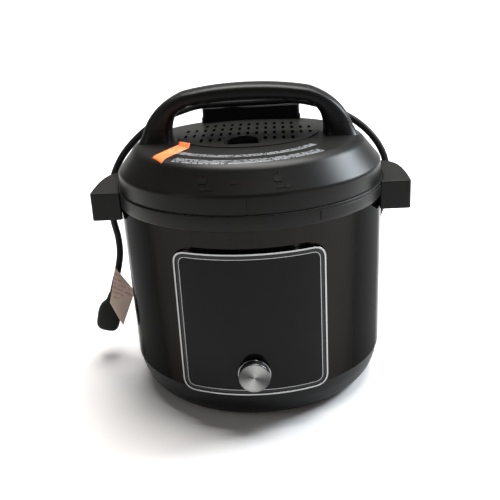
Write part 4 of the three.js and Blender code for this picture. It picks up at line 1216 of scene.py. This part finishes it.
# %% Orange label
LABEL_CORNERS = [(-92, -74), (-81, -91), (-58, -51), (-71, -35)]
FLAP_CORNERS = [(-71, -35, 0), (-58, -51, 0), (-57, -46, 3.4), (-70, -30, 2.6)]
label_net = net([
    [(x, y, surface_height(math.hypot(x, y)) + 0.25) for x, y in row]
    for row in grid_between(LABEL_CORNERS, 24)
])
flap = net([
    [(x, y, surface_height(math.hypot(x, y)) + 0.25 + lift) for x, y, lift in row]
    for row in grid_between(FLAP_CORNERS, 8)
])
label = piece("orange_tape", merged(label_net, flap), "lid", orange_label, ["lid_cover"],
              sharp=80)
label_thickness = label.modifiers.new("thickness", "SOLIDIFY")
label_thickness.thickness = 0.18 * MM

# %% [markdown]
# ## Finishes of the hidden parts
# The parts inside stay as the frame has them. They are only seen when the lid is off or a cup
# is pulled out, so they need the right material and nothing more.

# %% Hidden parts
HIDDEN = {
    "display_module control_board power_board": circuit_board,
    "dial_encoder transformer relay cup_bracket": inner_plastic,
    "dial_shaft left_screw right_screw release_pipe release_weight steam_shield": small_steel,
    "sensor_bracket ring_rack": small_steel,
    "heater_plate temperature_sensor filter_capacitor": cast_aluminium,
    "float_seal heater_lead": silicone,
}
for names, material in HIDDEN.items():
    for name in names.split():
        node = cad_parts[name]
        node.data.materials.clear()
        node.data.materials.append(material)
print(sum(len(n.split()) for n in HIDDEN), "hidden parts")

# %% [markdown]
# ## Room
# A pale table that curves up at its far end, a large soft light above, a window-like light at
# the right that draws the broad highlight on the lid, narrow lights at the sides for the wall,
# and a dim room round them.

# %% Table and wall
table_finish = Finish("table", Specular_IOR_Level=0.2)
table_finish.give(
    Base_Color=table_finish.between(table_finish.noise(1.5, 2), (0.8, 0.79, 0.785),
                                    (0.84, 0.83, 0.825)),
    Roughness=0.65 + table_finish.noise(40, 2) * 0.1,
)
sweep_line = [Vector((-9, 0)), Vector((3.2, 0))] + curve((3.2, 0), (3.6, 0), (3.6, 0.4), 24)
sweep_line += [Vector((3.6, 0.6))]
sweep = net([[(x, p.x, p.y) for p in sweep_line] for x in (-9, -3, 3, 9)])
for face in sweep.faces:
    face.smooth = True
    if face.normal.z < -0.5 or face.normal.y > 0.5:
        face.normal_flip()
table_top = as_object("table_top", sweep)
table_top.data.materials.append(table_finish.material)


# %% Lights
def soft_light(name, place, aim, wide, high, power, colour=(1, 1, 1)):
    data = bpy.data.lights.new(name, "AREA")
    data.shape = "RECTANGLE"
    data.size, data.size_y, data.energy, data.color = wide, high, power, colour
    light = bpy.data.objects.new(name, data)
    bpy.context.scene.collection.objects.link(light)
    way = Vector(aim) - Vector(place)
    light.rotation_euler = way.to_track_quat("-Z", "Y").to_euler()
    light.location = place
    return light


soft_light("top_soft", (0.2, 0.7, 2.8), (0, 0.35, 0), 2.4, 1.9, 175, (1, 0.985, 0.97))
soft_light("window", (1.3, 0.42, 1.0), (0, 0, 0.2), 0.6, 0.6, 34, (0.86, 0.94, 1))
soft_light("wall_soft", (0, 2.2, 2.4), (0, 3.6, 0.2), 3.5, 0.4, 60)
soft_light("strip", (1.15, -1.5, 0.55), (0, 0, 0.15), 0.07, 0.9, 1.6, (0.95, 0.97, 1))
soft_light("lamp_strip", (1.5, -1.1, 0.5), (0, 0, 0.15), 0.12, 0.5, 1.2, (1, 0.72, 0.6))
soft_light("left_soft", (-1.5, -1.0, 0.9), (0, 0, 0.15), 0.2, 1.0, 3, (1, 0.96, 0.92))

world = bpy.data.worlds.new("room")
world.use_nodes = True
world.node_tree.nodes["Background"].inputs[0].default_value = (1, 0.98, 0.96, 1)
world.node_tree.nodes["Background"].inputs[1].default_value = 0.09
bpy.context.scene.world = world
bpy.context.scene.view_settings.view_transform = "Standard"
